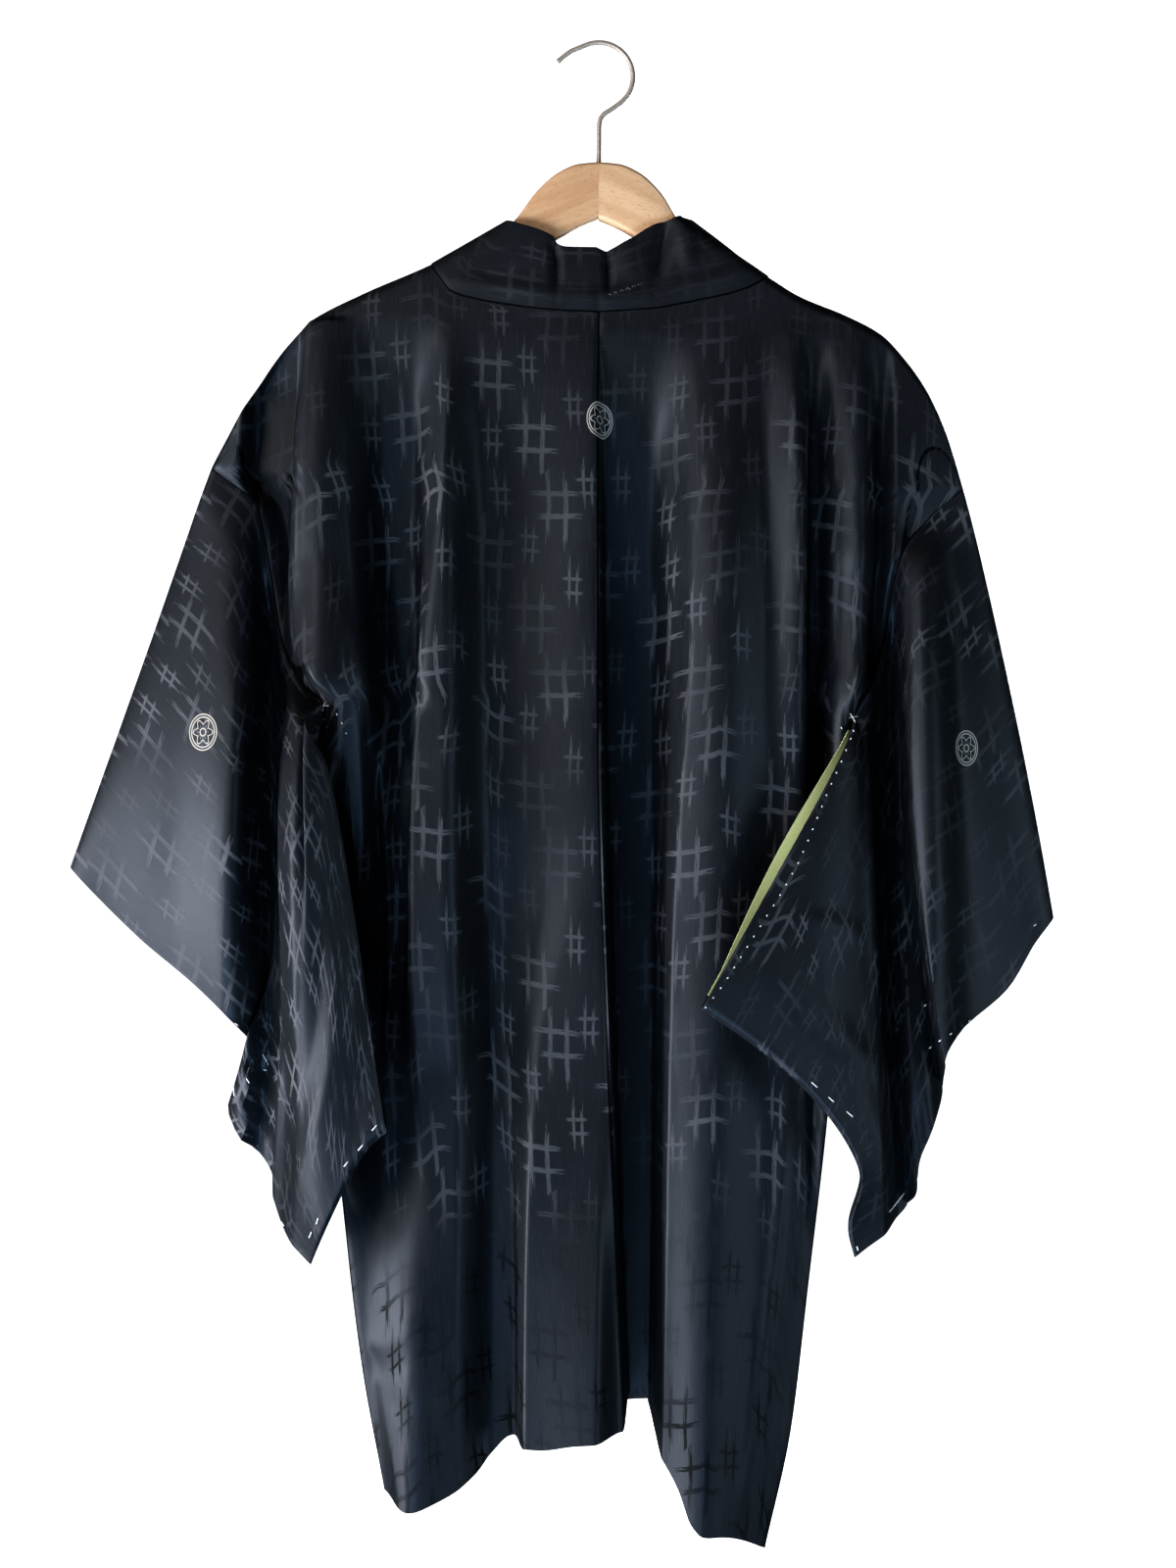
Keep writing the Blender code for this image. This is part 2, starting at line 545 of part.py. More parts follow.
def ring_loft(name, rings, finish):
    """A closed solid through rings of equally many points, with flat ends."""
    rings = np.asarray(rings, float)
    count, around = rings.shape[:2]
    faces = []
    for i in range(count - 1):
        for j in range(around):
            k = (j + 1) % around
            faces.append((i * around + j, i * around + k, (i + 1) * around + k, (i + 1) * around + j))
    faces.append(tuple(range(around))[::-1])
    faces.append(tuple((count - 1) * around + j for j in range(around)))
    points = rings.reshape(-1, 3)
    piece = add_piece(name, points, faces, finish)
    if signed_volume(points, faces) < 0:
        piece.data.flip_normals()
    return piece


def add_hanger_half(side, finish):
    """Rounded rectangles from the mitre at the middle to the arm's tip, under the cloth's ridge."""
    tip = ARM_END[side]
    stations = np.array([SEAM / 2, *WOOD_STATIONS, tip - WOOD_TIP, tip - WOOD_TIP / 3, tip])
    rings = []
    for out in stations:
        top = float(table_curve(np.array([out]), RIDGE[side])[0]) - WOOD_UNDER_CLOTH
        bottom = float(table_curve(np.array([out]), WOOD_UNDER)[0])
        end = min(1.0, (tip - out) / WOOD_TIP)
        scale = 1 - WOOD_TIP_SHRINKS * (1 - np.sqrt(1 - (1 - end) ** 2))
        middle, tall = (top + bottom) / 2, (top - bottom) / 2 * scale
        wide = WOOD_HALF * scale
        radius = min(WOOD_ROUND, wide * 0.8)
        ring = []
        for cy, cz, start in ((1, 1, 0), (-1, 1, 90), (-1, -1, 180), (1, -1, 270)):
            for angle in (start, start + 30, start + 60, start + 90):
                turn = np.radians(angle)
                ring.append((sign(side) * out, cy * (wide - radius) + radius * np.cos(turn),
                             middle + cz * (tall - radius) + radius * np.sin(turn)))
        rings.append(ring)
    half = ring_loft("hanger_" + side, rings, finish)
    cutter = add_piece("hook_hole_" + side, *cylinder(STEM_HOLE, STEM_END - 0.5, -60), finish)
    cutter.hide_render = True
    cutter.display_type = "WIRE"
    hole = half.modifiers.new("hook hole", "BOOLEAN")
    hole.operation = "DIFFERENCE"
    hole.object = cutter


def cylinder(radius, low, high, around=16):
    turn = np.arange(around) / around * 2 * np.pi
    ring = np.stack([radius * np.cos(turn), radius * np.sin(turn)], axis=-1)
    points = [(x, y, low) for x, y in ring] + [(x, y, high) for x, y in ring]
    faces = [(j, (j + 1) % around, around + (j + 1) % around, around + j) for j in range(around)]
    faces += [tuple(range(around))[::-1], tuple(range(around, 2 * around))]
    return points, faces


def add_hook(finish):
    """Bent wire: from its open tip over the top, round the right, in to the stem and down into the wood."""
    centre = WIRE_RADIUS - HOOK_RADIUS
    turn = np.radians(np.arange(118, -50, -8))
    arc = [(HOOK_RADIUS * np.cos(a), centre + HOOK_RADIUS * np.sin(a)) for a in turn]
    route = [*HOOK_TIP, *arc, *HOOK_NECK, (0, STEM_END)]
    line = bpy.data.curves.new("hanger_hook", "CURVE")
    line.dimensions = "3D"
    line.bevel_depth = WIRE_RADIUS * MM
    line.bevel_resolution = 2
    line.use_fill_caps = True
    spline = line.splines.new("POLY")
    spline.points.add(len(route) - 1)
    for point, (x, z) in zip(spline.points, route):
        point.co = (x * MM, 0, z * MM, 1)
    line.materials.append(finish)
    hook = bpy.data.objects.new("hanger_hook", line)
    bpy.context.collection.objects.link(hook)


def main():
    for old in list(bpy.data.objects):
        bpy.data.objects.remove(old, do_unlink=True)
    finishes = {name: material(name) for name in MATERIALS}
    silk = finishes["silk"]
    cloths, grids = {}, {}
    for side in ("left", "right"):
        body = body_cloth(side, silk)
        grid = grids[side] = body.points.reshape(*body.shape, 3).copy()
        back, front = sleeve_layers(side, grid)
        sleeve = sleeve_cloth(side, back, front, silk)
        above = np.arange(UNDERARM_ROW + 1)
        side_column = body.index[:, -1]
        back_edge, front_edge = side_column[SHOULDER - above], side_column[SHOULDER + above[1:]]
        sew(sleeve, sleeve.index[above, 0], sleeve.index[above, 1], body, back_edge, ARMHOLE_SEAM)
        under = above[1:]
        for underarm in (UNDERARM_ROW, -UNDERARM_ROW):
            sleeve.move_along(sleeve.index[[underarm], 0], sleeve.index[[underarm], 1], UNDERARM_GAP)
        sew(sleeve, sleeve.index[-under, 0], sleeve.index[-under, 1], body, front_edge, ARMHOLE_SEAM)
        cloths[side] = [body, sleeve, gusset_cloth(side, grid, silk)]
        if side == "right":
            cloths[side].append(lining_cloth(front, finishes["lining"]))
        add_hanger_half(side, finishes["beech"])
    left, right = cloths["left"][0], cloths["right"][0]
    rows = np.arange(SHOULDER + 1)
    sew(right, right.index[rows, 0], right.index[rows, 1], left, left.index[rows, 0])
    collar, ids = collar_cloth(grids, silk)
    count = len(ids[0])
    seam_ids = collar.index[:, 0]
    sew(collar, seam_ids[:count], collar.index[:count, 1], left, ids[0][::-1])
    sew(collar, seam_ids[count - 1:], collar.index[count - 1:, 1], right, ids[1], 0)
    collar.move_along(seam_ids[count:], collar.index[count:, 1], SEAM)
    for cloth in cloths["left"] + cloths["right"] + [collar]:
        cloth.build()
    add_hook(finishes["steel"])


main()
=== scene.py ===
"""Looks of a black silk haori hanging on a wooden hanger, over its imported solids.

Everything is in metres in the solids' frame; the tables are in millimetres and a length is turned
into metres only when a mesh is made. The garment's back faces -Y.
"""

import bmesh
import bpy
import numpy as np
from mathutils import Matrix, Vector

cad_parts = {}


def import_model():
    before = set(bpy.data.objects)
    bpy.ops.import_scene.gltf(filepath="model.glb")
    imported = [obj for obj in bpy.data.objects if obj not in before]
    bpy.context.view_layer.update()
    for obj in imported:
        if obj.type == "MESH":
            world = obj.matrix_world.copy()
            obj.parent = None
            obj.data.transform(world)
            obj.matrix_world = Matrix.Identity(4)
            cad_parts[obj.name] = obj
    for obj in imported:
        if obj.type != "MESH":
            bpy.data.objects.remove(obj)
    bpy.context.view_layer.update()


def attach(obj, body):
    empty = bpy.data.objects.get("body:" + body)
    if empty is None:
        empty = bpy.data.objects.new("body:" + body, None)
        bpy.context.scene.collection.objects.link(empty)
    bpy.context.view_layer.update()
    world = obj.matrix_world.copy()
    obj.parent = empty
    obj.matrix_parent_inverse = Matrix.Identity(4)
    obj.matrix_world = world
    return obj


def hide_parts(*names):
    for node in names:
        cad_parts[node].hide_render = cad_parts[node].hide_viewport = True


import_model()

MM = 0.001
SIDES = ("left", "right")
EYE = (-7.9, -1500.0, -543.0)  # the camera's place
FAR = 99  # a distance to a seam that is beyond its reach

# How thick the silk, the collar band and the lining are
SILK, BAND, LINING = 0.9, 2.4, 0.5
FOLD_ROUND = 10.0  # the cloth reaches its full depth at this drop below a ridge
EDGE_FADES = 0.07  # the body's folds fade out over this share before the side edge
# The body's rows: ways down to the underarm, steps between two of them, rows from there to the hem
ROWS_ABOVE = (0, 0.015, 0.04, 0.075, 0.14, 0.25, 0.37, 0.5, 0.62, 0.74, 0.86, 0.95, 1)
ABOVE_FINE = 5
BELOW_ROWS = 66
UNDERARM_ROW = (len(ROWS_ABOVE) - 1) * ABOVE_FINE
SHOULDER = UNDERARM_ROW + BELOW_ROWS  # the row along the ridge
CENTRE_REACH = 0.23  # share of the centre seam beside the rows above the underarm
# The body's columns: to the end of the neckline, and from there to the side
NECK_COLUMNS = 76
SIDE_COLUMNS = 88
FINE_COLUMNS = 600  # a row is measured in this many points
ALONG_SHARE = 0.65  # share of the columns' spacing that follows the cloth's own length
# How many times the rows are evened: the columns' places, the map and the body's grain
EVENED_COLUMNS, EVENED_MAP, EVENED_GRAIN = 24, 60, 12
UNDERARM = {"left": -485.0, "right": -494.0}

# How the cloth's grain runs
TAKEN_UP = 0.15  # share of the folds' depth that moves the grain sideways
SEAM_REACH = 6.0  # a seam is marked on the cloth up to this distance
SEAM_DEPTH, SEAM_WIDTH = 0.7, 2.2  # how far the cloth sinks beside a seam, and how wide
WEFT_LEVEL = 0.6  # share of the slope of the shoulder that the weft does not follow

# Sleeves: their drop, half the space between their layers, that space where the cuff is sewn shut,
# and the drop down to which the cuff is open
SLEEVE_DROP = 490.0
SLEEVE_HALF = 7.0
SEWN_HALF = 1.0
CUFF_OPENING = 230.0
SLEEVE_CLOSES = 9.0  # the layers draw together over the last part of the drop
SLEEVE_SETTLES = 12.0  # below the underarm the inner edge takes its own depth over this drop
SLEEVE_LEAVES = 85.0  # how far the cloth first runs square to the armhole
SLEEVE_COLUMNS, SLEEVE_BELOW = 84, 84  # its columns, and its rows below the underarm
SLEEVE_CROWD = 0.10  # how much closer those rows lie towards the bottom
ARMHOLE_SHARE = 0.25  # share of the way to the cuff where the armhole's own depth ends
CUFF_SHARE = 0.8  # and where the sewn cuff starts to narrow
CUFF_NARROWS = 25.0  # below its opening the cuff narrows over this drop
LINING_SHOWS = 7.0  # how far the lining stands out at the open edge
LINING_WAY = 0.88  # down this share of it
LINING_INSIDE = 1.6  # its distance from the sleeve's front layer
LINING_COLUMN = 12  # the lining's strip reaches this column of the sleeve
LINING_ENDS = (6, 8)  # and stops this far from the underarm and from the bottom
GUSSET_FLARE = 15.0  # how far the gusset stands out just under the arm
GUSSET_FLARE_DROP = 26.0  # and how far below the arm it does so most
GUSSET_SINK = 0.32  # four times how deep its middle sinks, as a share of its width

# The line where the cloth lies over the hanger and drops to the sleeve: (out from the middle, height)
RIDGE = {
    "left": ((0, -82.5), (15, -84), (30, -90.5), (45, -103.5), (64, -127.5), (90, -144.5), (122.4, -162),
             (173.5, -184.3), (211, -203.8), (226.8, -218.9), (241.2, -236.9), (258.5, -264.2),
             (272.9, -290.2), (284.4, -311)),
    "right": ((0, -82.5), (15, -84), (30, -90.5), (45, -104.5), (60, -127.4), (90, -149.5), (123.8, -171.4),
              (146.9, -185.8), (181.4, -200.2), (206.6, -213.8), (222.5, -230.4), (239, -253.4),
              (252.7, -282.2), (267.1, -326.9)),
}

# The neckline of the back: (out from the middle, height)
NECKLINE = {
    "left": ((0, -199.4), (33, -198), (67.7, -194), (92, -189.5), (108, -184), (116, -174),
             (120.5, -168), (122.4, -162)),
    "right": ((0, -199.4), (36.7, -197.3), (77, -190), (97, -185.5), (111, -180.5), (119, -176),
              (123, -173.5), (123.8, -171.4)),
}

# The side edge of the body: armhole to the gusset's top, then the gusset, then the hem:
# (height, out from the middle, middle's depth, half the space between back and front)
SIDE_EDGE = {
    "left": ((-311, 284.4, 2, 8.5), (-340, 251, 6, 8.5), (-395, 241, 14, 8), (-440, 232, 4, 7),
             (-471, 215, -13, 5), (-485, 200, -16, 3.5), (-600, 196, -12, 10), (-750, 193, -6, 18),
             (-880, 181, -3, 25), (-960, 171, 0, 29), (-1050, 154, 0, 33)),
    "right": ((-326.9, 267.1, 0, 8.5), (-345, 245, 2, 8.5), (-374, 222, -6, 8), (-400, 216, 6, 8),
              (-429, 212, 12, 7), (-455, 205, 2, 6), (-475, 196, -12, 5), (-494, 186, -16, 3.5),
              (-600, 181, -12, 10), (-785, 165, -5, 19), (-913, 150, 0, 26), (-1008, 138, 0, 30),
              (-1092, 119, 0, 33)),
}

# The hems: (share of the way from the middle to the side, height)
HEM = {"back": {
    "left": ((0, -1005), (0.2, -1009), (0.35, -1014), (0.45, -1014), (0.55, -1027), (0.62, -1039),
             (0.78, -1054), (0.9, -1060), (1, -1050)),
    "right": ((0, -1005), (0.12, -998), (0.16, -1012), (0.32, -1044), (0.41, -1066), (0.5, -1074),
              (0.63, -1076), (1, -1092)),
}, "front": {
    "left": ((0, -1008), (0.43, -1010), (0.7, -1024), (1, -1050)),
    "right": ((0, -1008), (0.43, -1012), (0.7, -1044), (1, -1092)),
}}

# The centre-back seam: (height, x). The front edges where the collar is sewn: (height, out from the middle)
CENTRE_SEAM = ((-199, 0), (-270, -1), (-500, -1), (-685, 4), (-900, 13), (-1100, 25))
FRONT_SEAM = {
    "left": ((-162, 122.4), (-300, 110), (-600, 95), (-1010, 77)),
    "right": ((-171.4, 123.8), (-300, 112), (-600, 96), (-1010, 79)),
}

# How far the middles of the back and the front stand from the hanger's plane: (height, depth)
DEPTH = {
    "back": ((-82, 8.5), (-130, 10), (-160, 12), (-199, 16), (-311, 26), (-485, 31), (-750, 36), (-1080, 46)),
    "front": ((-82, 8.5), (-130, 10), (-199, 14), (-311, 24), (-485, 36), (-750, 54), (-1080, 72)),
}

# Folds: a row is one raised panel, or a trough where its heights are negative. It runs from top to
# bottom between a left and a right edge with a softness each; the edges' x, the softness and the height
# it stands out by are given at even steps from top to bottom, or once for the whole.
FOLD_NAMES = ("top", "bottom", "left", "left_soft", "right", "right_soft", "height")
FOLDS = {"back": (
    # the hollow beside the hanger's left end
    (-205, -471, (-240, -256, -260, -258, -256), 5, (-214, -220, -224, -229, -231), (5, 3, 3, 3, 3),
     (-12, -28, -24, -20, -14)),
    # from the left end of the hanger, and its swollen lower end with a sharp right edge
    (-205, -600, (-214, -226, -232), 6, (-188, -186, -184), (14, 20, 14), (4, 18, 0)),
    (-380, -600, (-220, -214, -208), 10, (-188, -163, -172), (14, 3, 3), (0, 15, 0)),
    # the hollow beside it
    (-205, -900, (-176, -170, -160, -164, -172, -170), 14, (-122, -125, -134, -139, -139, -132),
     (16, 12, 4, 3, 10, 20), (0, -38, -54, -50, -18, 0)),
    (-470, -860, (-214, -210, -206, -196), 5, (-166, -160, -160), 5, (0, -46, -50, 0)),
    # the ridge beside that: soft on its right, and lower down turned away from the left
    (-205, -750, (-120, -126, -136, -137), (16, 10, 3, 3), (-100, -98, -98), 14, (0, 14, 18, 17, 0)),
    (-810, -1100, (-148, -149, -151), (20, 22, 20), (-112, -114, -118), 24, (0, 15, 18)),
    # the hollow that reaches the hem, with a long rise to the centre seam that steepens towards the hem
    (-225, -800, (-98, -94, -91, -90), 14, (0, 2, 5, 8), 3.5, (0, -20, -21, 0)),
    (-560, -1100, (-91, -90, -90, -90), 14, (-34, -57, -57, -57), (50, 14, 5, 3.5), (0, -24, -26, -14)),
    # beside the centre seam, sharp on its right, rounder near the hem
    (-225, -800, -36, 32, (0, 2, 5, 8), 3.5, (0, 11, 11, 0)),
    (-770, -1100, -57, (4, 4, 3.5), (5, 6, 6), (6, 9, 14), (0, 9, 14)),
    (-840, -1100, -28, 34, (5, 6, 6), (6, 9, 14), (0, 12, 15)),
    # the deep fold right of the centre seam, its right flank steeper further down
    (-215, -1100, (0, 2, 8, 15, 24), 3.5, (54, 53, 47, 44, 40), (20, 15, 6, 4, 4), (0, -60, -80, -86, -90)),
    # the bright ridge right of it, falling away to the right
    (-205, -1100, (64, 63, 60, 58, 55), (22, 24, 24, 20, 18), (112, 112, 106, 98, 92), 22,
     (0, 16, 13, 13, 18)),
    # three small ones towards the right armhole
    (-205, -570, (129, 131, 130), 14, (148, 149, 148), (12, 4, 6), (0, 16, 12, 0)),
    (-215, -600, (150, 152, 152), 4, (165, 166, 167), (8, 3, 4), (0, -26, -40, -6)),
    (-205, -700, (172, 177, 176, 176), (10, 12, 12, 12), (196, 199, 199, 199), (8, 6, 5, 5), (0, 14, 18, 8)),
    # the hollow before the right armhole
    (-215, -420, (196, 196, 196), 8, (212, 212, 210), 4, (0, -16, -14)),
), "front": (
    (-220, -1100, (-214, -176, -150), 12, (-178, -148, -126), 16, (0, 18, 18)),
    (-240, -1100, (-152, -132, -116), 10, (-130, -110, -97), 12, (0, -18, -28)),
    (-220, -1100, (174, 146, 122), 14, (208, 176, 144), 12, (0, 18, 16)),
    (-240, -1100, (126, 108, 93), 12, (150, 130, 114), 10, (0, -18, -26)),
)}

# Sleeves: a row is one line across the cloth, from the armhole or the open inner edge to the cuff:
# (drop along the cloth, inner end x y z, middle x y z, cuff end x y z)
SLEEVE_LINES = {
    "left": (
        (0, -284.4, 0, -311, -336, -5, -462, -388, 0, -604),
        (110, -251, 5, -340, -290, -30, -507, -336, -6, -654),
        (172, -243, 10, -378, -256, -38, -530, -270, -17, -708),
        (200, -241, 14, -395, -243, -8, -543, -250, 0, -733),
        (225, -232, 2, -440, -231, -34, -578, -243, -22, -741),
        (262, -215, -13, -471, -221, -46, -612, -274, 16, -782),
        (300, -200, -16, -485, -208, -50, -650, -246, -10, -823),
        (315, -208, -34, -497, -204, -51, -668, -241, -12, -832),
        (345, -194, -43, -530, -196, -52, -697, -236, -16, -845),
        (400, -172, -55, -650, -186, -62, -750, -228, -24, -862),
        (490, -149, -68, -787, -176, -62, -824, -205, -38, -884),
    ),
    "right": (
        (0, 267.1, 0, -326.9, 303, -3, -482, 334, 1, -641),
        (45, 256, 1, -336, 286, -8, -501, 320, 0, -658),
        (90, 245, 2, -345, 266, -14, -520, 300, -4, -690),
        (170, 222, -6, -374, 221, -34, -545, 246, -26, -741),
        (200, 212, 12, -429, 224, 18, -585, 251, 12, -764),
        (235, 196, -12, -475, 208, -18, -618, 240, -4, -796),
        (270, 186, -16, -494, 199, -32, -640, 232, -14, -821),
        (285, 180, -34, -507, 190, -38, -655, 231, -17, -828),
        (315, 166, -46, -534, 182, -46, -675, 230, -20, -838),
        (390, 127, -64, -601.5, 168, -58, -715, 226, -24, -851),
        (490, 70, -93, -698, 173, -52, -795, 192, -38, -884),
    ),
}

# Collar
COLLAR_WIDTH = 64.0
COLLAR_BULGE = 1.6
COLLAR_FLAT = (30, 20)  # where its pattern starts: (across, down)
COLLAR_SETTLES = 80.0  # below the shoulder, the band has its full width after this drop
COLLAR_DRAWN_IN = 9.0  # and is narrower by this at the shoulder
COLLAR_LEAN = 4.0  # its free edge stands this far in front of its seam
COLLAR_DEEPEST = 60.0  # but no further than this from the hanger's middle
COLLAR_CLEAR = 9.5  # the band stays this far from the hanger's middle
COLLAR_PEAK = {"left": 32.0, "right": 43.0}  # how far its free edge is drawn up at the shoulder
# The underside of the hanger: (out from the middle, height)
WOOD_UNDER = ((0, -128.5), (12, -133.5), (31.7, -144.5), (90, -172), (160, -206), (205, -229), (219, -232))


# Where each piece's pattern starts on the cloth: (across, down)
FLAT_START = {"left": (31, 12), "right": (88, 66), "sleeve_left": (12, 40), "sleeve_right": (70, 5)}

# Creases: a row is one soft ridge, or a trough where its height is negative, along a line bent
# through three points (x, height), with the width and the height of its bell.
BACK_CREASES = (
    # from the right front edge of the low right corner
    ((136, -758), (124, -900), (100, -1060), 5, 3.0),
    # around the low left corner
    ((-169, -960), (-140, -947), (-108, -918), 3.5, -6.0),
    ((-169, -952), (-142, -939), (-112, -912), 6, 3.5),
    ((-150, -985), (-128, -992), (-112, -990), 4, -2.0),
)
SLEEVE_FOLDS = {
    "left": (
        # the outer panel, the narrow hollow behind its edge, and the inner panel
        (-300, -900, (-278, -280, -280), 28, (-253, -250, -250), 6, (4, 10, 6)),
        (-290, -830, (-250, -250, -249, -248, -260), (8, 8, 6, 5, 5), (-216, -224, -231, -228, -239), 3,
         (0, -34, -32, -28, -24)),
        (-300, -930, (-206, -217, -221, -218, -230), (8, 9, 8, 8, 8), (-196, -190, -180), 20, (8, 20, 10)),
    ),
    "right": (
        (-330, -930, (196, 202, 214), 8, (219, 220, 232), 3, (0, -34, -14)),
        (-300, -930, (225, 228, 240), 9, (248, 254, 266), 12, (8, 17, 12)),
    ),
}
# Where a sleeve is pulled out of line: (drop, share of the way to the cuff, reach of each, across, up)
SLEEVE_PULLS = {"left": (), "right": ((500, 0.88, 62, 0.15, -17, 4),)}
SLEEVE_CREASES = {
    "left": (),
    "right": (
        ((112, -660), (170, -720), (230, -770), 9, 3.0),
        ((140, -640), (165, -642), (192, -655), 7, 2.5),
    ),
}
# The collar's free edge behind the neck, with its two small steps
COLLAR_EDGE = {
    "left": ((0, 2, -152), (25, 24, -151.5), (31.5, 31, -147.8), (33.5, 33.4, -143.5),
             (67.7, 46.8, -137.5), (92, 57, -134.6), (108, 62, -133), (116, 65, -132),
             (120.5, 67, -131.4), (122.4, 67.7, -130.6)),
    "right": ((0, -2, -152), (9, 4, -154.5), (36.7, 20, -147.5), (77, 42.5, -134), (97, 51, -131.6),
              (111, 56, -129.6), (119, 58.5, -128.4), (123, 59.3, -127.8), (123.8, 59.8, -127.2)),
}
COLLAR_CREASES = (
    # the folded ridge beside the seam
    ((-110, -177), (-60, -184), (-30, -188), 6, 2.4),
    ((-32, -188), (4, -189), (40, -186), 6, 2.4),
    ((38, -186), (80, -178), (110, -168), 6, 2.4),
    # where the band buckles over the hanger
    ((-33, -146), (-31.5, -162), (-31, -182), 3.4, -5.0),
    ((6, -152), (6.5, -168), (7, -186), 3.0, -5.0),
    ((50, -131), (46, -152), (42, -176), 5.5, -5.0),
    ((60, -131), (64, -150), (66, -170), 7, 2.6),
    ((26, -146), (24, -160), (22, -178), 9, 2.0),
)
# The hanger: half its thickness, its edges' radius, how far it lies under the cloth's ridge, its ends
WOOD_HALF = 6.5
WOOD_ROUND = 3.4
WOOD_UNDER_CLOTH = 4.5
WOOD_TIP, WOOD_SHRINKS = 9.0, 0.45  # length of its rounded tip, and how much it shrinks there
LOFT_SHARP = 0.9  # edges over this angle stay sharp on the hanger and hook
TUBE_ASIDE = (0.31, 0.92, 0.17)  # a direction that no tube runs along
ARM_END = {"left": 214.0, "right": 210.0}
# The hook: its wire, its bend, and the points (x, height) before and after the bend
WIRE_RADIUS = 1.8
HOOK_RADIUS = 25.2
HOOK_BEND = (118, -36, -8)  # degrees round its bend: from, to before, step
TIP_ROUND, TIP_SWELL, TIP_REACH = 0.8, 0.22, 2.2  # the tip's rounding, its swelling and how far that reaches
HOOK_TIP = ((-30.2, -12.5), (-26.5, -9.2), (-20.5, -4.6))
HOOK_NECK = ((17.0, -41.8), (10.4, -46.7), (3.4, -51.0), (0.9, -54.6), (0.1, -60), (0, -85), (0, -100))


def curve(at, stations, values):
    """Monotone cubic through (station, value) rows; between two rows it never leaves their range. Its slope
    at a row is the harmonic mean of the slopes beside it, or 0 where they turn, and it joins two rows by
    the cubic that has their values and slopes."""
    stations = np.asarray(stations, float)
    values = np.asarray(values, float)
    at = np.clip(np.asarray(at, float), stations.min(), stations.max())
    order = np.argsort(stations)
    stations, values = stations[order], values[order]
    flat = values.reshape(len(stations), -1)
    step = np.diff(stations)[:, None]
    slope = np.diff(flat, axis=0) / step
    same = slope[:-1] * slope[1:] > 0
    total = np.where(same, slope[:-1] + slope[1:], 1)
    tangent = np.vstack([slope[:1], np.where(same, 2 * slope[:-1] * slope[1:] / total, 0), slope[-1:]])
    cell = np.clip(np.searchsorted(stations, at, side="right") - 1, 0, len(stations) - 2)
    width = step[cell, 0]
    t = ((at - stations[cell]) / width)[..., None]
    out = (flat[cell] * (1 + 2 * t) * (1 - t) ** 2 + flat[cell + 1] * t * t * (3 - 2 * t)
           + width[..., None] * (tangent[cell] * t * (1 - t) ** 2 - tangent[cell + 1] * t * t * (1 - t)))
    return out.reshape(at.shape + values.shape[1:])


def table_curve(at, rows):
    """The curve through a table whose first column is the station."""
    rows = np.asarray(rows, float)
    return curve(at, rows[:, 0], rows[:, 1] if rows.shape[1] == 2 else rows[:, 1:])


def ease(t):
    """Smooth step: 3t^2 - 2t^3 between 0 and 1."""
    t = np.clip(t, 0, 1)
    return t * t * (3 - 2 * t)


def sign(side):
    """-1 on the left, 1 on the right."""
    return -1.0 if side == "left" else 1.0


def unit(ways):
    """Each direction divided by its length."""
    return ways / np.linalg.norm(ways, axis=1)[:, None]


def run(route):
    """The length of a route up to each of its points."""
    return np.concatenate([[0], np.cumsum(np.linalg.norm(np.diff(route, axis=0), axis=1))])


def bent(start, middle, end, t):
    """The parabola that is at three places when t is 0, 1/2 and 1."""
    return start * (1 - t) * (1 - 2 * t) + 4 * middle * t * (1 - t) + end * t * (2 * t - 1)


def cap(drop):
    """Share of the full depth at a drop below the ridge: a quarter of an ellipse."""
    t = np.clip(drop / FOLD_ROUND, 0, 1)
    return np.sqrt(1 - (1 - t) ** 2)


def below_ridge(side, x, z):
    """How far a place lies below the ridge: the ridge's height there less its own."""
    return table_curve(np.abs(x), RIDGE[side]) - z


def fold_height(x, z, folds):
    """Sum of raised panels: full height between two edges, with an eased flank on either edge."""
    total = np.zeros_like(x)
    for row in folds:
        fold = dict(zip(FOLD_NAMES, row))
        down = (fold["top"] - z) / (fold["top"] - fold["bottom"])

        def along(name):
            values = np.atleast_1d(fold[name]).astype(float)
            return values[0] if len(values) == 1 else curve(down, np.linspace(0, 1, len(values)), values)

        rise = ease(0.5 + (x - along("left")) / (2 * along("left_soft")))
        fall = ease(0.5 + (along("right") - x) / (2 * along("right_soft")))
        inside = (down > 0) & ((down < 1) | (fold["height"][-1] != 0))
        total += np.where(inside, along("height"), 0) * rise * fall
    return total


def creases(x, z, rows):
    """Sum of soft ridges: along a bent line through three points, a bell across it that fades at its ends."""
    total = np.zeros_like(x)
    t = np.linspace(0, 1, 48)
    for row in rows:
        *places, width, height = row
        px, pz = (bent(*three, t) for three in zip(*places))
        near = np.full(x.shape, 1e9)
        along = np.zeros(x.shape)
        for share, qx, qz in zip(t, px, pz):
            apart = (x - qx) ** 2 + (z - qz) ** 2
            closer = apart < near
            near = np.where(closer, apart, near)
            along = np.where(closer, share, along)
        fade = np.sin(np.pi * np.clip(along, 0.02, 0.98)) ** 0.6
        total += height * fade * np.exp(-near / width ** 2)
    return total


def body_depth(side, face, x, z, share):
    """y of the back or the front: its middle depth, drawn in to the side edge by a fourth power of the
    share, plus its folds and creases, all brought to 0 at the ridge."""
    middle = table_curve(z, DEPTH[face])
    edge = table_curve(z, SIDE_EDGE[side])
    depth = middle + (edge[..., 2] - middle) * share ** 4
    folds = fold_height(x, z, FOLDS[face])
    if face == "back":
        folds += creases(x, z, BACK_CREASES)
    depth = depth + folds * ease((1 - share) / EDGE_FADES)
    facing = -1 if face == "back" else 1
    return edge[..., 1] * share ** 6 + facing * depth * cap(below_ridge(side, x, z))


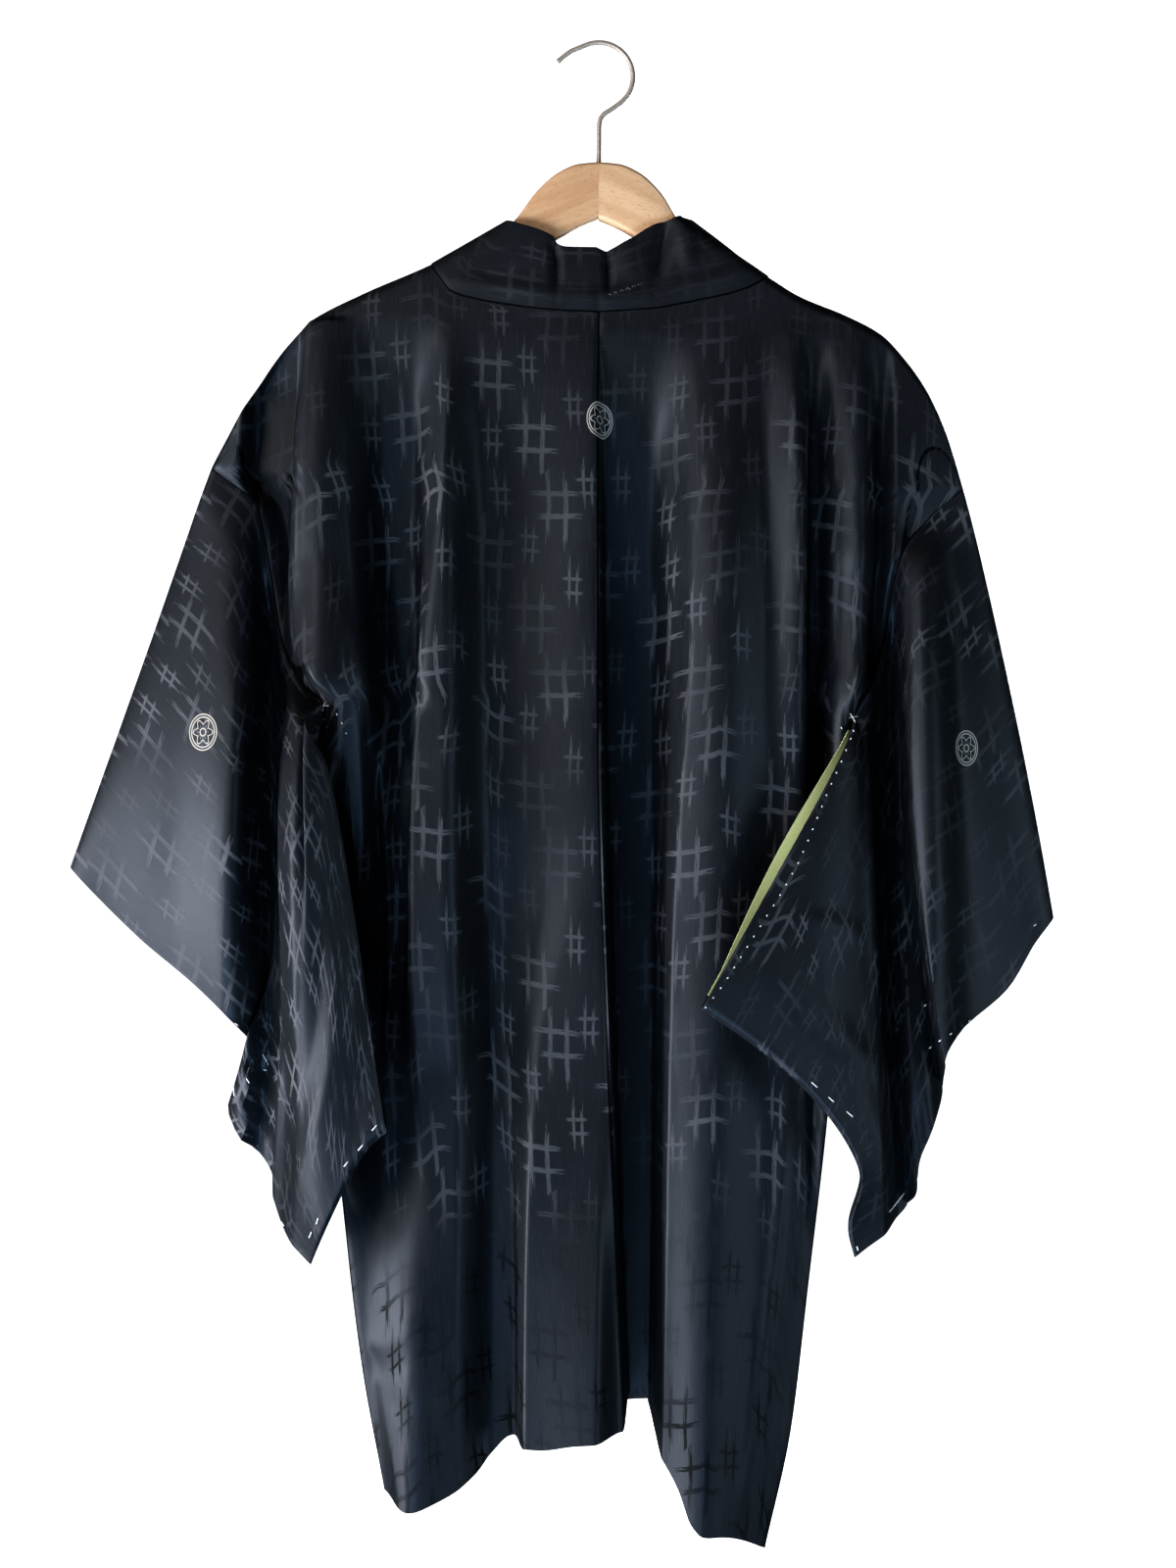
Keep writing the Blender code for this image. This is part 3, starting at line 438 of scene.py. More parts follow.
def body_face(side, face, way, shares):
    """Points of one face: rows run from the ridge or the neckline to the hem, columns across by share."""
    side_x = SIDE_EDGE[side][0][1]
    neck_share = NECKLINE[side][-1][0] / side_x
    shares = np.broadcast_to(shares, way.shape)
    top = table_curve(shares * side_x, RIDGE[side])
    if face == "back":
        top = np.where(shares < neck_share, table_curve(shares * side_x, NECKLINE[side]), top)
    hem = table_curve(shares, HEM[face][side])
    z = top + (hem - top) * way
    side_edge = table_curve(z, SIDE_EDGE[side])[..., 0]
    if face == "back":
        centre = table_curve(z, CENTRE_SEAM)
        x = centre + (sign(side) * side_edge - centre) * shares
    else:
        seam = table_curve(z, FRONT_SEAM[side])
        x = sign(side) * (seam + (side_edge - seam) * (shares - neck_share) / (1 - neck_share))
    return np.stack([x, body_depth(side, face, x, z, shares), z], axis=-1)


def evened(values, times):
    """Each row averaged with its neighbours above and below, many times over."""
    for _ in range(times):
        padded = np.concatenate([values[:1], values, values[-1:]])
        values = (padded[:-2] + 2 * padded[1:-1] + padded[2:]) / 4
    return values


def body_ways(side, shares):
    """How far down each row lies at these shares: an eased start down to the underarm, then even steps."""
    side_top, side_end = SIDE_EDGE[side][0][0], SIDE_EDGE[side][-1][0]
    reach = CENTRE_REACH + ((side_top - UNDERARM[side]) / (side_top - side_end) - CENTRE_REACH) * shares
    fine = np.interp(np.arange(UNDERARM_ROW + 1) / ABOVE_FINE, np.arange(len(ROWS_ABOVE)), ROWS_ABOVE)
    above = np.concatenate([fine, np.ones(BELOW_ROWS)])[:, None]
    below = np.concatenate([np.zeros(len(fine)), np.linspace(0, 1, BELOW_ROWS + 1)[1:]])[:, None]
    return above * reach + below * (1 - reach)


def spread(side, face, low, high, count):
    """Shares that part each row into steps partly even in length along the cloth and partly even across,
    so that steep flanks get more columns; the rows are evened."""
    fine = np.broadcast_to(np.linspace(low, high, FINE_COLUMNS), (SHOULDER + 1, FINE_COLUMNS))
    rows = body_face(side, face, body_ways(side, fine), fine)
    length = np.cumsum(np.linalg.norm(np.diff(rows, axis=1), axis=2), axis=1)
    even = np.linspace(0, 1, FINE_COLUMNS)
    measure = ALONG_SHARE * np.pad(length / length[:, -1:], ((0, 0), (1, 0))) + (1 - ALONG_SHARE) * even
    steps = np.linspace(0, 1, count + 1)
    shares = np.stack([np.interp(steps, row, fine[0]) for row in measure])
    return evened(shares, EVENED_COLUMNS)


def body_grid(side):
    """Rows from the back hem over the shoulder to the front hem; columns from the middle to the side."""
    neck_share = NECKLINE[side][-1][0] / SIDE_EDGE[side][0][1]
    back = np.concatenate([spread(side, "back", 0, neck_share, NECK_COLUMNS)[:, :-1],
                           spread(side, "back", neck_share, 1, SIDE_COLUMNS)], axis=1)
    front = spread(side, "front", neck_share, 1, SIDE_COLUMNS)
    front[:1] = back[:1, NECK_COLUMNS:]
    grid = np.zeros((2 * SHOULDER + 1, back.shape[1], 3))
    grid[:SHOULDER + 1] = body_face(side, "back", body_ways(side, back), back)[::-1]
    grid[SHOULDER:, NECK_COLUMNS:] = body_face(side, "front", body_ways(side, front), front)
    return grid


def cloth_map(grid, start=0):
    """Where each point lies on the flat cloth: its distance across along the row, from the start column,
    and down along the column. Every row is as wide as the cloth is on the whole, since its edges run
    along the grain, and the rows are evened so that the grain stays smooth."""
    across = np.linalg.norm(np.diff(grid, axis=1), axis=2)
    down = np.linalg.norm(np.diff(grid, axis=0), axis=2)
    width = across[:, start:].sum(axis=1)
    across = across * (np.median(width) / width)[:, None]
    u = np.concatenate([np.zeros((len(grid), 1)), np.cumsum(across, axis=1)], axis=1)
    v = np.concatenate([np.zeros((1, grid.shape[1])), np.cumsum(down, axis=0)], axis=0)
    return evened(u - u[:, start:start + 1], EVENED_MAP), v


def shell(name, grid, flat, thickness, finish, cells=None, wrap=False, seam=None):
    """A thin closed cloth: the grid's points moved half the thickness either way along the mean of the
    facing of their cells, the two skins joined round every free edge; flat is the map onto the cloth,
    and seam is the distance from the nearest seam."""
    points = grid.reshape(-1, 3)
    index = np.arange(len(points)).reshape(grid.shape[:2])
    after = np.roll(index, -1, axis=0) if wrap else index[1:]
    before = index if wrap else index[:-1]
    place = np.stack(flat, axis=-1) * MM

    def corners(a, b):
        return np.stack([a[:, :-1], a[:, 1:], b[:, 1:], b[:, :-1]], axis=2)

    quads = corners(before, after)
    flats = corners(place[:len(before)], place[1:len(before) + 1])
    keep = np.ones(quads.shape[:2], bool) if cells is None else cells
    quads, flats = quads[keep], flats[keep]
    cell = points[quads]
    facing = np.cross(cell[:, 2] - cell[:, 0], cell[:, 3] - cell[:, 1])
    normal = np.zeros_like(points)
    for corner in range(4):
        np.add.at(normal, quads[:, corner], facing)
    normal /= np.maximum(np.linalg.norm(normal, axis=1), 1e-12)[:, None]
    count = len(points)
    edges, edge_flats = (np.concatenate([corner[:, [a, (a + 1) % 4]] for a in range(4)])
                         for corner in (quads, flats))
    free = ~np.isin(edges[:, 0] * count + edges[:, 1], edges[:, 1] * count + edges[:, 0])
    rim, rim_flats = edges[free], edge_flats[free]
    faces = np.concatenate([quads, quads[:, ::-1] + count,
                            np.stack([rim[:, 1], rim[:, 0], rim[:, 0] + count, rim[:, 1] + count], axis=1)])
    maps = np.concatenate([flats, flats[:, ::-1], rim_flats[:, [1, 0, 0, 1]]])
    skins = np.concatenate([points + normal * thickness / 2, points - normal * thickness / 2])
    outward = face_outwards(skins, faces)
    if not outward:
        faces, maps = faces[:, ::-1], maps[:, ::-1]
    used, faces = np.unique(faces, return_inverse=True)
    faces = faces.reshape(-1, 4)
    piece = mesh_piece(name, skins[used], faces, finish, maps)
    if seam is not None:
        near = np.clip(1 - seam / SEAM_REACH, 0, 1).ravel()
        layer = piece.data.attributes.new("seam", "FLOAT", "POINT")
        layer.data.foreach_set("value", np.concatenate([near, near])[used].astype(np.float32))
    return piece, grid, normal.reshape(grid.shape) * (1 if outward else -1)


def face_outwards(points, faces):
    """Whether closed four-cornered faces hold a positive volume: each face's first corner times the
    area of its two triangles, summed."""
    a, b, c, d = (points[faces[:, i]] for i in range(4))
    return np.einsum("ij,ij->i", a, np.cross(b, c) + np.cross(c, d)).sum() > 0


def put(name, data):
    """A new object in the scene."""
    made = bpy.data.objects.new(name, data)
    bpy.context.collection.objects.link(made)
    return made


def mesh_piece(name, points, faces, finish, maps=None, sharp=1.25):
    """Points in millimetres and four-cornered faces, put into one object that rides on the part."""
    mesh = bpy.data.meshes.new(name)
    mesh.vertices.add(len(points))
    mesh.vertices.foreach_set("co", (np.asarray(points) * MM).astype(np.float32).ravel())
    mesh.loops.add(faces.size)
    mesh.loops.foreach_set("vertex_index", faces.astype(np.int32).ravel())
    mesh.polygons.add(len(faces))
    mesh.polygons.foreach_set("loop_start", np.arange(0, faces.size, faces.shape[1], dtype=np.int32))
    if maps is not None:
        layer = mesh.uv_layers.new(name="cloth")
        layer.data.foreach_set("uv", maps.astype(np.float32).ravel())
    mesh.update(calc_edges=True)
    mesh.validate()
    mesh.shade_smooth()
    mesh.set_sharp_from_angle(angle=sharp)
    mesh.materials.append(finish)
    piece = put(name, mesh)
    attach(piece, "root")
    return piece


def seam_dip(distance):
    """How far the cloth sinks beside a seam: a bell over the distance from it."""
    return SEAM_DEPTH * np.exp(-(distance / SEAM_WIDTH) ** 2)


def body_map(side, grid):
    """The flat cloth of one half of the body. Its grain hangs plumb, so the distances across and down are
    those along x and z, to which a share of what the folds take up is added; the weft follows a share
    of the shoulder's slope, and down the front the cloth runs on over the shoulder."""
    u, v = cloth_map(grid[:SHOULDER + 1])
    front, front_v = cloth_map(grid[SHOULDER:], NECK_COLUMNS)
    neck = u[-1, NECK_COLUMNS]
    u, v = np.concatenate([u, front[1:] + neck]), np.concatenate([v, v[-1:] + front_v[1:]])
    plumb = sign(side) * grid[..., 0]
    top = grid[SHOULDER, :, 2]
    down = np.where(np.arange(len(grid))[:, None] <= SHOULDER, grid[..., 2] - top, top - grid[..., 2])
    down = down + TAKEN_UP * (np.abs(v - v[SHOULDER]) * np.sign(down) - down) + WEFT_LEVEL * (top - top[0])
    return evened(plumb + TAKEN_UP * (u - plumb), EVENED_GRAIN), down


def body_cloth(side, finish):
    """One half of the body: its grid, sunk beside its seams, without the cells inside the neckline."""
    grid = body_grid(side)
    u, v = body_map(side, grid)
    from_side = np.abs(u[:, -1:] - u)
    from_centre = np.abs(u - u[:, :1])
    from_centre[SHOULDER + 1:] = FAR
    seam = np.minimum(from_side, from_centre)
    neck = slice(None, NECK_COLUMNS + 1)
    from_neck = np.cumsum(np.linalg.norm(np.diff(grid[SHOULDER::-1, neck], axis=0), axis=2), axis=0)[::-1]
    seam[:SHOULDER, neck] = np.minimum(seam[:SHOULDER, neck], from_neck)
    seam[SHOULDER, neck] = 0
    dip = seam_dip(from_side) + seam_dip(from_centre)
    grid[..., 1] += np.where(np.arange(len(grid))[:, None] <= SHOULDER, dip, -dip)
    cells = np.ones((grid.shape[0] - 1, grid.shape[1] - 1), bool)
    cells[SHOULDER:, :NECK_COLUMNS] = False
    piece, points, normal = shell("haori_body_" + side, grid, pattern(side, side, u, v), SILK, finish,
                                  cells, seam=seam)
    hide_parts("body_" + side)
    return piece, points, normal


def pattern(side, name, u, v):
    """A map onto the cloth, mirrored on the left and moved to where the pattern starts there."""
    across, down = FLAT_START[name]
    return sign(side) * u + across, v + down


def gusset_cloth(side, grid, finish):
    """The strip from the underarm to the hem: straight across between the side edges, sunk in the middle
    by a parabola, and just under the arm standing out by t times e to the power 1 - t."""
    start = SHOULDER + UNDERARM_ROW
    front, back = grid[start:, -1], grid[::-1][start:, -1]
    across = np.linspace(0, 1, 13)[None, :]
    strip = back[:, None] + (front - back)[:, None] * across[..., None]
    room = np.linalg.norm(front - back, axis=1)[:, None]
    strip[..., 0] -= sign(side) * (GUSSET_SINK * room * across * (1 - across))
    below = (strip[:1, :, 2] - strip[..., 2]) / GUSSET_FLARE_DROP
    strip[..., 0] += sign(side) * GUSSET_FLARE * below * np.exp(1 - below) * np.sin(np.pi * across) ** 0.5
    u, v = cloth_map(strip)
    piece = shell("haori_machi_" + side, strip, (u + 400, v), SILK, finish)[0]
    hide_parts("machi_" + side)
    return piece


def sleeve_layers(side, grid):
    """Both layers of a sleeve. Each row is a parabola through its three table points; the first rows
    start at the armhole's own points; the layers stand apart by a gap that closes at the bottom edge."""
    back = grid[::-1][SHOULDER:SHOULDER + UNDERARM_ROW + 1, -1]
    front = grid[SHOULDER:SHOULDER + UNDERARM_ROW + 1, -1]
    rows = np.asarray(SLEEVE_LINES[side], float)
    under = rows[np.argmax(rows[:, 3] <= UNDERARM[side]), 0]
    fine = np.linspace(0, under, 400)
    above = np.interp(-back[:, 2], -curve(fine, rows[:, 0], rows[:, 3]), fine)
    above[0], above[-1] = 0, under
    below = np.linspace(0, 1, SLEEVE_BELOW + 1)[1:]
    below = below + SLEEVE_CROWD * np.sin(np.pi * below) * below
    drops = np.concatenate([above, under + (SLEEVE_DROP - under) * below])
    ends = curve(drops, rows[:, 0], rows[:, 1:]).reshape(len(drops), 3, 3)
    ends[:len(above), 0] = (back + front) / 2
    caps = np.concatenate([cap(back[0, 2] - back[:, 2]), np.ones(SLEEVE_BELOW)])
    close = np.clip((SLEEVE_DROP - drops) / SLEEVE_CLOSES, 0, 1)
    caps = caps * np.sqrt(1 - (1 - close) ** 2)
    share = np.linspace(0, 1, SLEEVE_COLUMNS + 1)[None, :, None]
    start, middle, cuff = (ends[:, i][:, None] for i in range(3))
    line = bent(start, middle, cuff, share)
    share = share[..., 0]
    seam_line = ends[len(above) - 1, 0] - ends[0, 0]
    outward = np.array([seam_line[2], 0, -seam_line[0]]) / np.linalg.norm(seam_line) * -sign(side)
    leave = np.sin(0.8 * np.pi * np.clip(drops / under, 0, 1)) ** 0.5
    line += SLEEVE_LEAVES * (leave[:, None] * share * (1 - share) ** 4)[..., None] * outward
    armhole = SLEEVE_HALF * caps
    armhole[:len(above)] = (front - back)[:, 1] / 2
    settle = ease((drops - under) / SLEEVE_SETTLES)
    settled = (front - back)[-1, 1] / 2 * (1 - settle) + SLEEVE_HALF * settle * caps
    armhole = np.where(drops > under, settled, armhole)
    sewn = ease((drops - CUFF_OPENING) / CUFF_NARROWS)[:, None]
    sewn = sewn * ease((share - CUFF_SHARE) / (1 - CUFF_SHARE))
    inside = (SLEEVE_HALF + (SEWN_HALF - SLEEVE_HALF) * sewn) * caps[:, None]
    half = inside + (armhole[:, None] - inside) * ease(1 - share / ARMHOLE_SHARE)
    for drop, way, drop_reach, way_reach, aside, up in SLEEVE_PULLS[side]:
        near = np.exp(-((drops[:, None] - drop) / drop_reach) ** 2 - ((share - way) / way_reach) ** 2)
        line += near[..., None] * np.array([aside, 0, up])
    x, z = line[..., 0], line[..., 2]
    folds = fold_height(x, z, SLEEVE_FOLDS[side]) + creases(x, z, SLEEVE_CREASES[side])
    line[..., 1] -= folds * ease(share / 0.1) ** np.where(drops <= under, 1, 0)[:, None]
    back, front = line.copy(), line.copy()
    back[..., 1] -= half
    front[..., 1] += half
    if side == "right":
        way = np.clip((drops - under) / (LINING_WAY * (SLEEVE_DROP - under)), 0, 1)
        front[..., 0] -= (np.sin(np.pi * way) * LINING_SHOWS)[:, None] * (1 - share) ** 6
    return back, front, drops, under


def sleeve_cloth(side, back, front, drops, under, finish):
    """A flattened tube that starts at its bottom edge: up the back layer, over the fold, down the front."""
    loop = np.concatenate([back[::-1], front[1:-1]])
    closed = np.concatenate([loop, loop[:1]])
    u, v = cloth_map(closed)
    v = v - v[len(back) - 1:len(back)]
    sewn = np.concatenate([drops[::-1], drops[1:-1]])[:, None] <= under
    piece, points, normal = shell("haori_sleeve_" + side, loop, pattern(side, "sleeve_" + side, u, v), SILK,
                                  finish, wrap=True, seam=np.where(sewn, u[:-1], FAR))
    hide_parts("sleeve_" + side)
    return piece, points, normal


def lining_cloth(front, drops, under, finish):
    """The lining's strip along the open inner edge, just inside the sleeve's front layer."""
    keep = (drops > under + LINING_ENDS[0]) & (drops < SLEEVE_DROP - LINING_ENDS[1])
    near, far = front[keep][:, :1], front[keep][:, LINING_COLUMN:LINING_COLUMN + 1]
    strip = near + (far - near) * np.linspace(0, 1, 10)[None, :, None]
    strip[..., 1] -= LINING_INSIDE
    piece = shell("haori_lining_right", strip, cloth_map(strip), LINING, finish)[0]
    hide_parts("sleeve_lining_right")
    return piece


def collar_free_edge(side, seam, part):
    """The band's free edge opposite each seam point: read from the table behind the neck; down the front
    a band's width inwards, drawn up to the shoulder over its first part."""
    if part == "neck":
        out, rows = np.abs(seam[:, 0]), COLLAR_EDGE[side]
        x, z = table_curve(out, rows).T
        x = sign(side) * x
        return np.stack([x, -table_curve(z, DEPTH["back"]) * cap(below_ridge(side, x, z)), z], axis=-1)
    settled = ease((seam[0, 2] - seam[:, 2]) / COLLAR_SETTLES)
    x = seam[:, 0] - sign(side) * (COLLAR_WIDTH - COLLAR_DRAWN_IN * (1 - settled))
    z = seam[:, 2] + COLLAR_PEAK[side] * (1 - settled) ** 1.5
    depth = np.minimum(seam[:, 1] + COLLAR_LEAN * settled, COLLAR_DEEPEST)
    return np.stack([x, depth * cap(below_ridge(side, x, z)), z], axis=-1)


def collar_cloth(grids, finish):
    """One long band: straight lines from its seam on the fronts and the neckline to its free edge, kept
    clear of the hanger and bulged by a sine across it, with creases behind the neck."""
    seams, frees = [], []
    for side in SIDES:
        neck, front = grids[side][SHOULDER, :NECK_COLUMNS + 1], grids[side][SHOULDER:, NECK_COLUMNS]
        seams.append(np.concatenate([neck, front[1:]]))
        frees.append(np.concatenate([collar_free_edge(side, neck, "neck"),
                                     collar_free_edge(side, front, "front")[1:]]))
    seam = np.concatenate([seams[0][:0:-1], seams[1]])
    free = np.concatenate([frees[0][:0:-1], frees[1]])
    across = np.linspace(0, 1, 25)
    band = seam[:, None] + (free - seam)[:, None] * across[None, :, None]
    out = np.abs(band[..., 0])
    ridge = np.where(band[..., 0] < 0, table_curve(out, RIDGE["left"]), table_curve(out, RIDGE["right"]))
    depth = cap(ridge - band[..., 2])
    facing = np.sign(band[..., 1] + 1e-9)
    band[..., 1] = facing * np.maximum(np.abs(band[..., 1]), COLLAR_CLEAR * depth)
    crease = creases(band[..., 0], band[..., 2], COLLAR_CREASES) * (band[..., 1] < 0)
    bulge = COLLAR_BULGE * np.sin(np.pi * across) ** 0.7 + crease
    band[:, 1:, 1] += (facing * bulge * depth)[:, 1:]
    band[:, 0] = seam
    u, v = cloth_map(band)
    v = v - v[len(seams[0]) - 1:len(seams[0])]
    flat = (u + COLLAR_FLAT[0], v + COLLAR_FLAT[1])
    piece, points, normal = shell("haori_collar", band, flat, BAND, finish, seam=u)
    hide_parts("collar")
    return piece, points, normal


def tube(route, radius, around):
    """A round tube: rings square to the route, each started from one direction across it."""
    route = np.asarray(route, float)
    radius = np.broadcast_to(radius, len(route))
    ahead = unit(np.gradient(route, axis=0))
    side = unit(np.cross(ahead, TUBE_ASIDE))
    up = np.cross(ahead, side)
    turn = (np.arange(around) / around * 2 * np.pi)[None, :, None]
    ring = side[:, None] * np.cos(turn) + up[:, None] * np.sin(turn)
    return route[:, None] + ring * radius[:, None, None]


def ring_faces(rings, around):
    """Four-cornered faces between neighbouring rings."""
    i, j = np.meshgrid(np.arange(rings - 1), np.arange(around), indexing="ij")
    k = (j + 1) % around
    low, high = i * around, (i + 1) * around
    return np.stack([low + j, low + k, high + k, high + j], -1).reshape(-1, 4)


def closed_loft(name, rings, finish):
    """Rings joined into a closed surface, whose ends are closed towards the mean of the end ring."""
    count, around = rings.shape[:2]
    first, last = (np.broadcast_to(end.mean(axis=1, keepdims=True), end.shape)
                   for end in (rings[:1], rings[-1:]))
    points = np.concatenate([first, rings, last]).reshape(-1, 3)
    faces = ring_faces(count + 2, around)
    if not face_outwards(points, faces):
        faces = faces[:, ::-1]
    piece = mesh_piece(name, points, faces, finish, sharp=LOFT_SHARP)
    merged = bmesh.new()
    merged.from_mesh(piece.data)
    bmesh.ops.remove_doubles(merged, verts=merged.verts, dist=1e-7)
    bmesh.ops.dissolve_degenerate(merged, edges=merged.edges, dist=1e-8)
    merged.to_mesh(piece.data)
    merged.free()
    return piece


def hanger_half(side, finish):
    """Rounded rectangles along the arm, from the glued joint in the middle to the tip, where they shrink
    along a quarter of a circle."""
    tip = ARM_END[side]
    turn = np.linspace(0.05, 1.5707, 8)
    stations = np.concatenate([np.linspace(0.05, 66, 60), np.linspace(68, tip - WOOD_TIP, 40),
                               tip - WOOD_TIP + WOOD_TIP * np.sin(turn)])
    top = table_curve(stations, RIDGE[side]) - WOOD_UNDER_CLOTH
    bottom = table_curve(stations, WOOD_UNDER)
    end = np.clip((tip - stations) / WOOD_TIP, 0, 1)
    scale = 1 - WOOD_SHRINKS * (1 - np.sqrt(1 - (1 - end) ** 2))
    middle, tall, wide = (top + bottom) / 2, (top - bottom) / 2 * scale, WOOD_HALF * scale
    radius = np.minimum(WOOD_ROUND, wide * 0.8)
    rings = []
    for cy, cz, start in ((1, 1, 0), (-1, 1, 90), (-1, -1, 180), (1, -1, 270)):
        for angle in np.linspace(start, start + 90, 7):
            turn = np.radians(angle)
            rings.append(np.stack([sign(side) * stations, cy * (wide - radius) + radius * np.cos(turn),
                                   middle + cz * (tall - radius) + radius * np.sin(turn)], axis=-1))
    piece = closed_loft("wood_" + side, np.stack(rings, axis=1), finish)
    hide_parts("hanger_" + side)


def hook(finish):
    """Bent wire: a round tube along a smooth line through the hook's points, its tip rounded off along
    a circle and swollen there by a bell."""
    centre = WIRE_RADIUS - HOOK_RADIUS
    turn = np.radians(np.arange(*HOOK_BEND))
    arc = [(HOOK_RADIUS * np.cos(a), centre + HOOK_RADIUS * np.sin(a)) for a in turn]
    route = np.array([*HOOK_TIP, *arc, *HOOK_NECK])
    length = run(route)
    fine = np.linspace(0, length[-1], 240)
    x, z = (np.interp(fine, length, route[:, i]) for i in range(2))
    line = np.stack([x, 0 * fine, z], axis=-1)
    for _ in range(10):
        line[1:-1] = (line[:-2] + 2 * line[1:-1] + line[2:]) / 4
    radius = WIRE_RADIUS * np.sqrt(1 - np.clip(1 - fine / TIP_ROUND, 0, 0.9) ** 2)
    radius = radius * (1 + TIP_SWELL * np.exp(-(fine / TIP_REACH) ** 2))
    piece = closed_loft("hook_wire", tube(line, radius, 16), finish)
    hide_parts("hanger_hook")


class Wire:
    """A shader socket that takes part in Python sums; each operation adds one Math node."""

    def __init__(self, paint, socket):
        self.paint, self.socket = paint, socket

    def math(self, operation, *others):
        """The operation on this socket and others."""
        return self.paint.node("ShaderNodeMath", {"operation": operation}, [self, *others])

    def __add__(self, other):
        return self.math("ADD", other)

    def __sub__(self, other):
        return self.math("SUBTRACT", other)

    def __mul__(self, other):
        return self.math("MULTIPLY", other)

    def __lt__(self, other):
        return self.math("LESS_THAN", other)

    def __radd__(self, other):
        return self + other

    def __rmul__(self, other):
        return self * other

    def __rsub__(self, other):
        return self * -1 + other

    def __abs__(self):
        return self.math("ABSOLUTE")

    def soft(self, low, high):
        """0 below low, 1 above high, eased between."""
        return self.paint.node("ShaderNodeMapRange", {"interpolation_type": "SMOOTHSTEP"},
                               {"Value": self, "From Min": low, "From Max": high})


class Paint:
    """One material: its nodes all come from node()."""

    def __init__(self, name):
        self.made = bpy.data.materials.new(name)
        self.made.use_nodes = True
        self.tree = self.made.node_tree
        self.tree.nodes.clear()

    def node(self, kind, settings=None, sockets=(), out=0):
        """Adds a node: its settings first, then a value or a link for each socket named or in order."""
        node = self.tree.nodes.new(kind)
        for name, value in (settings or {}).items():
            setattr(node, name, value)
        pairs = sockets.items() if isinstance(sockets, dict) else enumerate(sockets)
        for name, value in pairs:
            if isinstance(value, Wire):
                self.tree.links.new(value.socket, node.inputs[name])
            else:
                node.inputs[name].default_value = value
        return Wire(self, node.outputs[out])

    def mix(self, factor, first, second):
        """A colour between two, each an (r, g, b) or a link."""
        colours = [(*c, 1) if isinstance(c, tuple) else c for c in (first, second)]
        return self.node("ShaderNodeMix", {"data_type": "RGBA"}, {0: factor, 6: colours[0], 7: colours[1]},
                         out=2)

    def noise(self, where, scale, detail=2.0, roughness=0.5):
        """Smooth noise round a half."""
        return self.node("ShaderNodeTexNoise", {}, {"Vector": where, "Scale": scale, "Detail": detail,
                                                    "Roughness": roughness})

    def place(self, *axes):
        """A point from its three numbers or links."""
        return self.node("ShaderNodeCombineXYZ", {}, list(axes))

    def millimetres(self, place, count):
        """A place in metres as millimetres: its whole, and its first few numbers."""
        whole = self.node("ShaderNodeVectorMath", {"operation": "SCALE"}, {0: place, "Scale": 1000.0})
        return whole, [self.node("ShaderNodeSeparateXYZ", {}, [whole], out=axis) for axis in range(count)]

    def object_point(self):
        """The point in the part's frame: its whole and its x, y and z."""
        return self.millimetres(self.node("ShaderNodeTexCoord", {}, (), out=3), 3)

    def cloth_point(self):
        """Where the point lies on the flat cloth: across and down."""
        return self.millimetres(self.node("ShaderNodeUVMap", {"uv_map": "cloth"}), 2)[1]

    def bump(self, height, strength, distance):
        """A facing tilted by a height; the distance is in metres."""
        return self.node("ShaderNodeBump", {}, {"Strength": strength, "Distance": distance, "Height": height})

    def shade(self, sockets):
        """One surface shader."""
        return self.node("ShaderNodeBsdfPrincipled", {}, sockets)

    def join(self, factor, first, second):
        """One shader over another."""
        return self.node("ShaderNodeMixShader", {}, [factor, first, second])

    def coat(self, colour, roughness, more):
        """The material, with one surface shader."""
        return self.finish(self.shade({"Base Color": colour, "Roughness": roughness, **more}))

    def finish(self, shader):
        """The material, with this shader as its surface."""
        end = self.tree.nodes.new("ShaderNodeOutputMaterial")
        self.tree.links.new(shader.socket, end.inputs["Surface"])
        return self.made
# Colours: the ground, its gloss and its tint; the figures on the body; towards its hem the figures darker
# than the ground, a painted shade for the satin's sheen turning there; and the figures lighter, a painted
# light for the brightly lit left sleeve
GROUND_DARK = (0.0040, 0.0047, 0.0060)
GROUND_LIGHT = (0.0056, 0.0067, 0.0086)
GROUND_GLOSS = 0.16
GROUND_TINT = (0.72, 0.84, 1.0, 1)
FIGURE = (0.044, 0.046, 0.052)
FIGURE_PAINTED_SHADE = (0.0005, 0.0010, 0.0014)
FIGURE_PAINTED_LIGHT = (0.064, 0.067, 0.075)
# On the body the figures fade upwards and to the right between these, a painted shade where the light brings
# them out less, and turn dark between these heights, a painted shade where the satin's sheen turns
FADE_UP, FADE_RIGHT = (-360, -215), (20, 130)
FIGURES_TURN = (-905, -800)
# the near-black line along the seams: painted shade in their grooves
SEAM_PAINTED_SHADE = (0.0006, 0.0007, 0.0009, 1)
# Badges: x and height of the middle, width and height, and where the back layer ends on the cloth
BADGES = {"body": (0.7, -278.0, 19.4, 26.0, None),
          "left": (-282.6, -506.0, 22.0, 27.0, FLAT_START["sleeve_left"][1]),
          "right": (266.0, -517.0, 18.0, 26.0, FLAT_START["sleeve_right"][1])}
THREAD = (0.36, 0.33, 0.29)  # the badges' thread, and its paler parts
THREAD_PALE = (0.46, 0.43, 0.38)
WALL_GLOW = 1.3

# The damask's repeat, in millimetres: a row is one well-crib figure: (across, down)
REPEAT = (94.0, 130.0)
LARGE_CRIBS = ((0, 0), (-16.5, 47.5), (-47.5, 93))
SMALL_CRIBS = ((13, 72), (-41, 5), (-20, 102), (-46, 47.5), (23, 14))
# Half the space between its bars, half their length, how far the two bars are pushed apart lengthwise,
# and half a bar's width; first for the bars that run down, then for those that run across
LARGE_SHAPE = {"down": (6.2, 27.0, 4.0, 1.45), "across": (8.2, 17.0, 1.7, 1.7)}
SMALL_SHAPE = {"down": (3.0, 16.0, 2.0, 0.9), "across": (5.0, 7.4, 0.9, 1.1)}


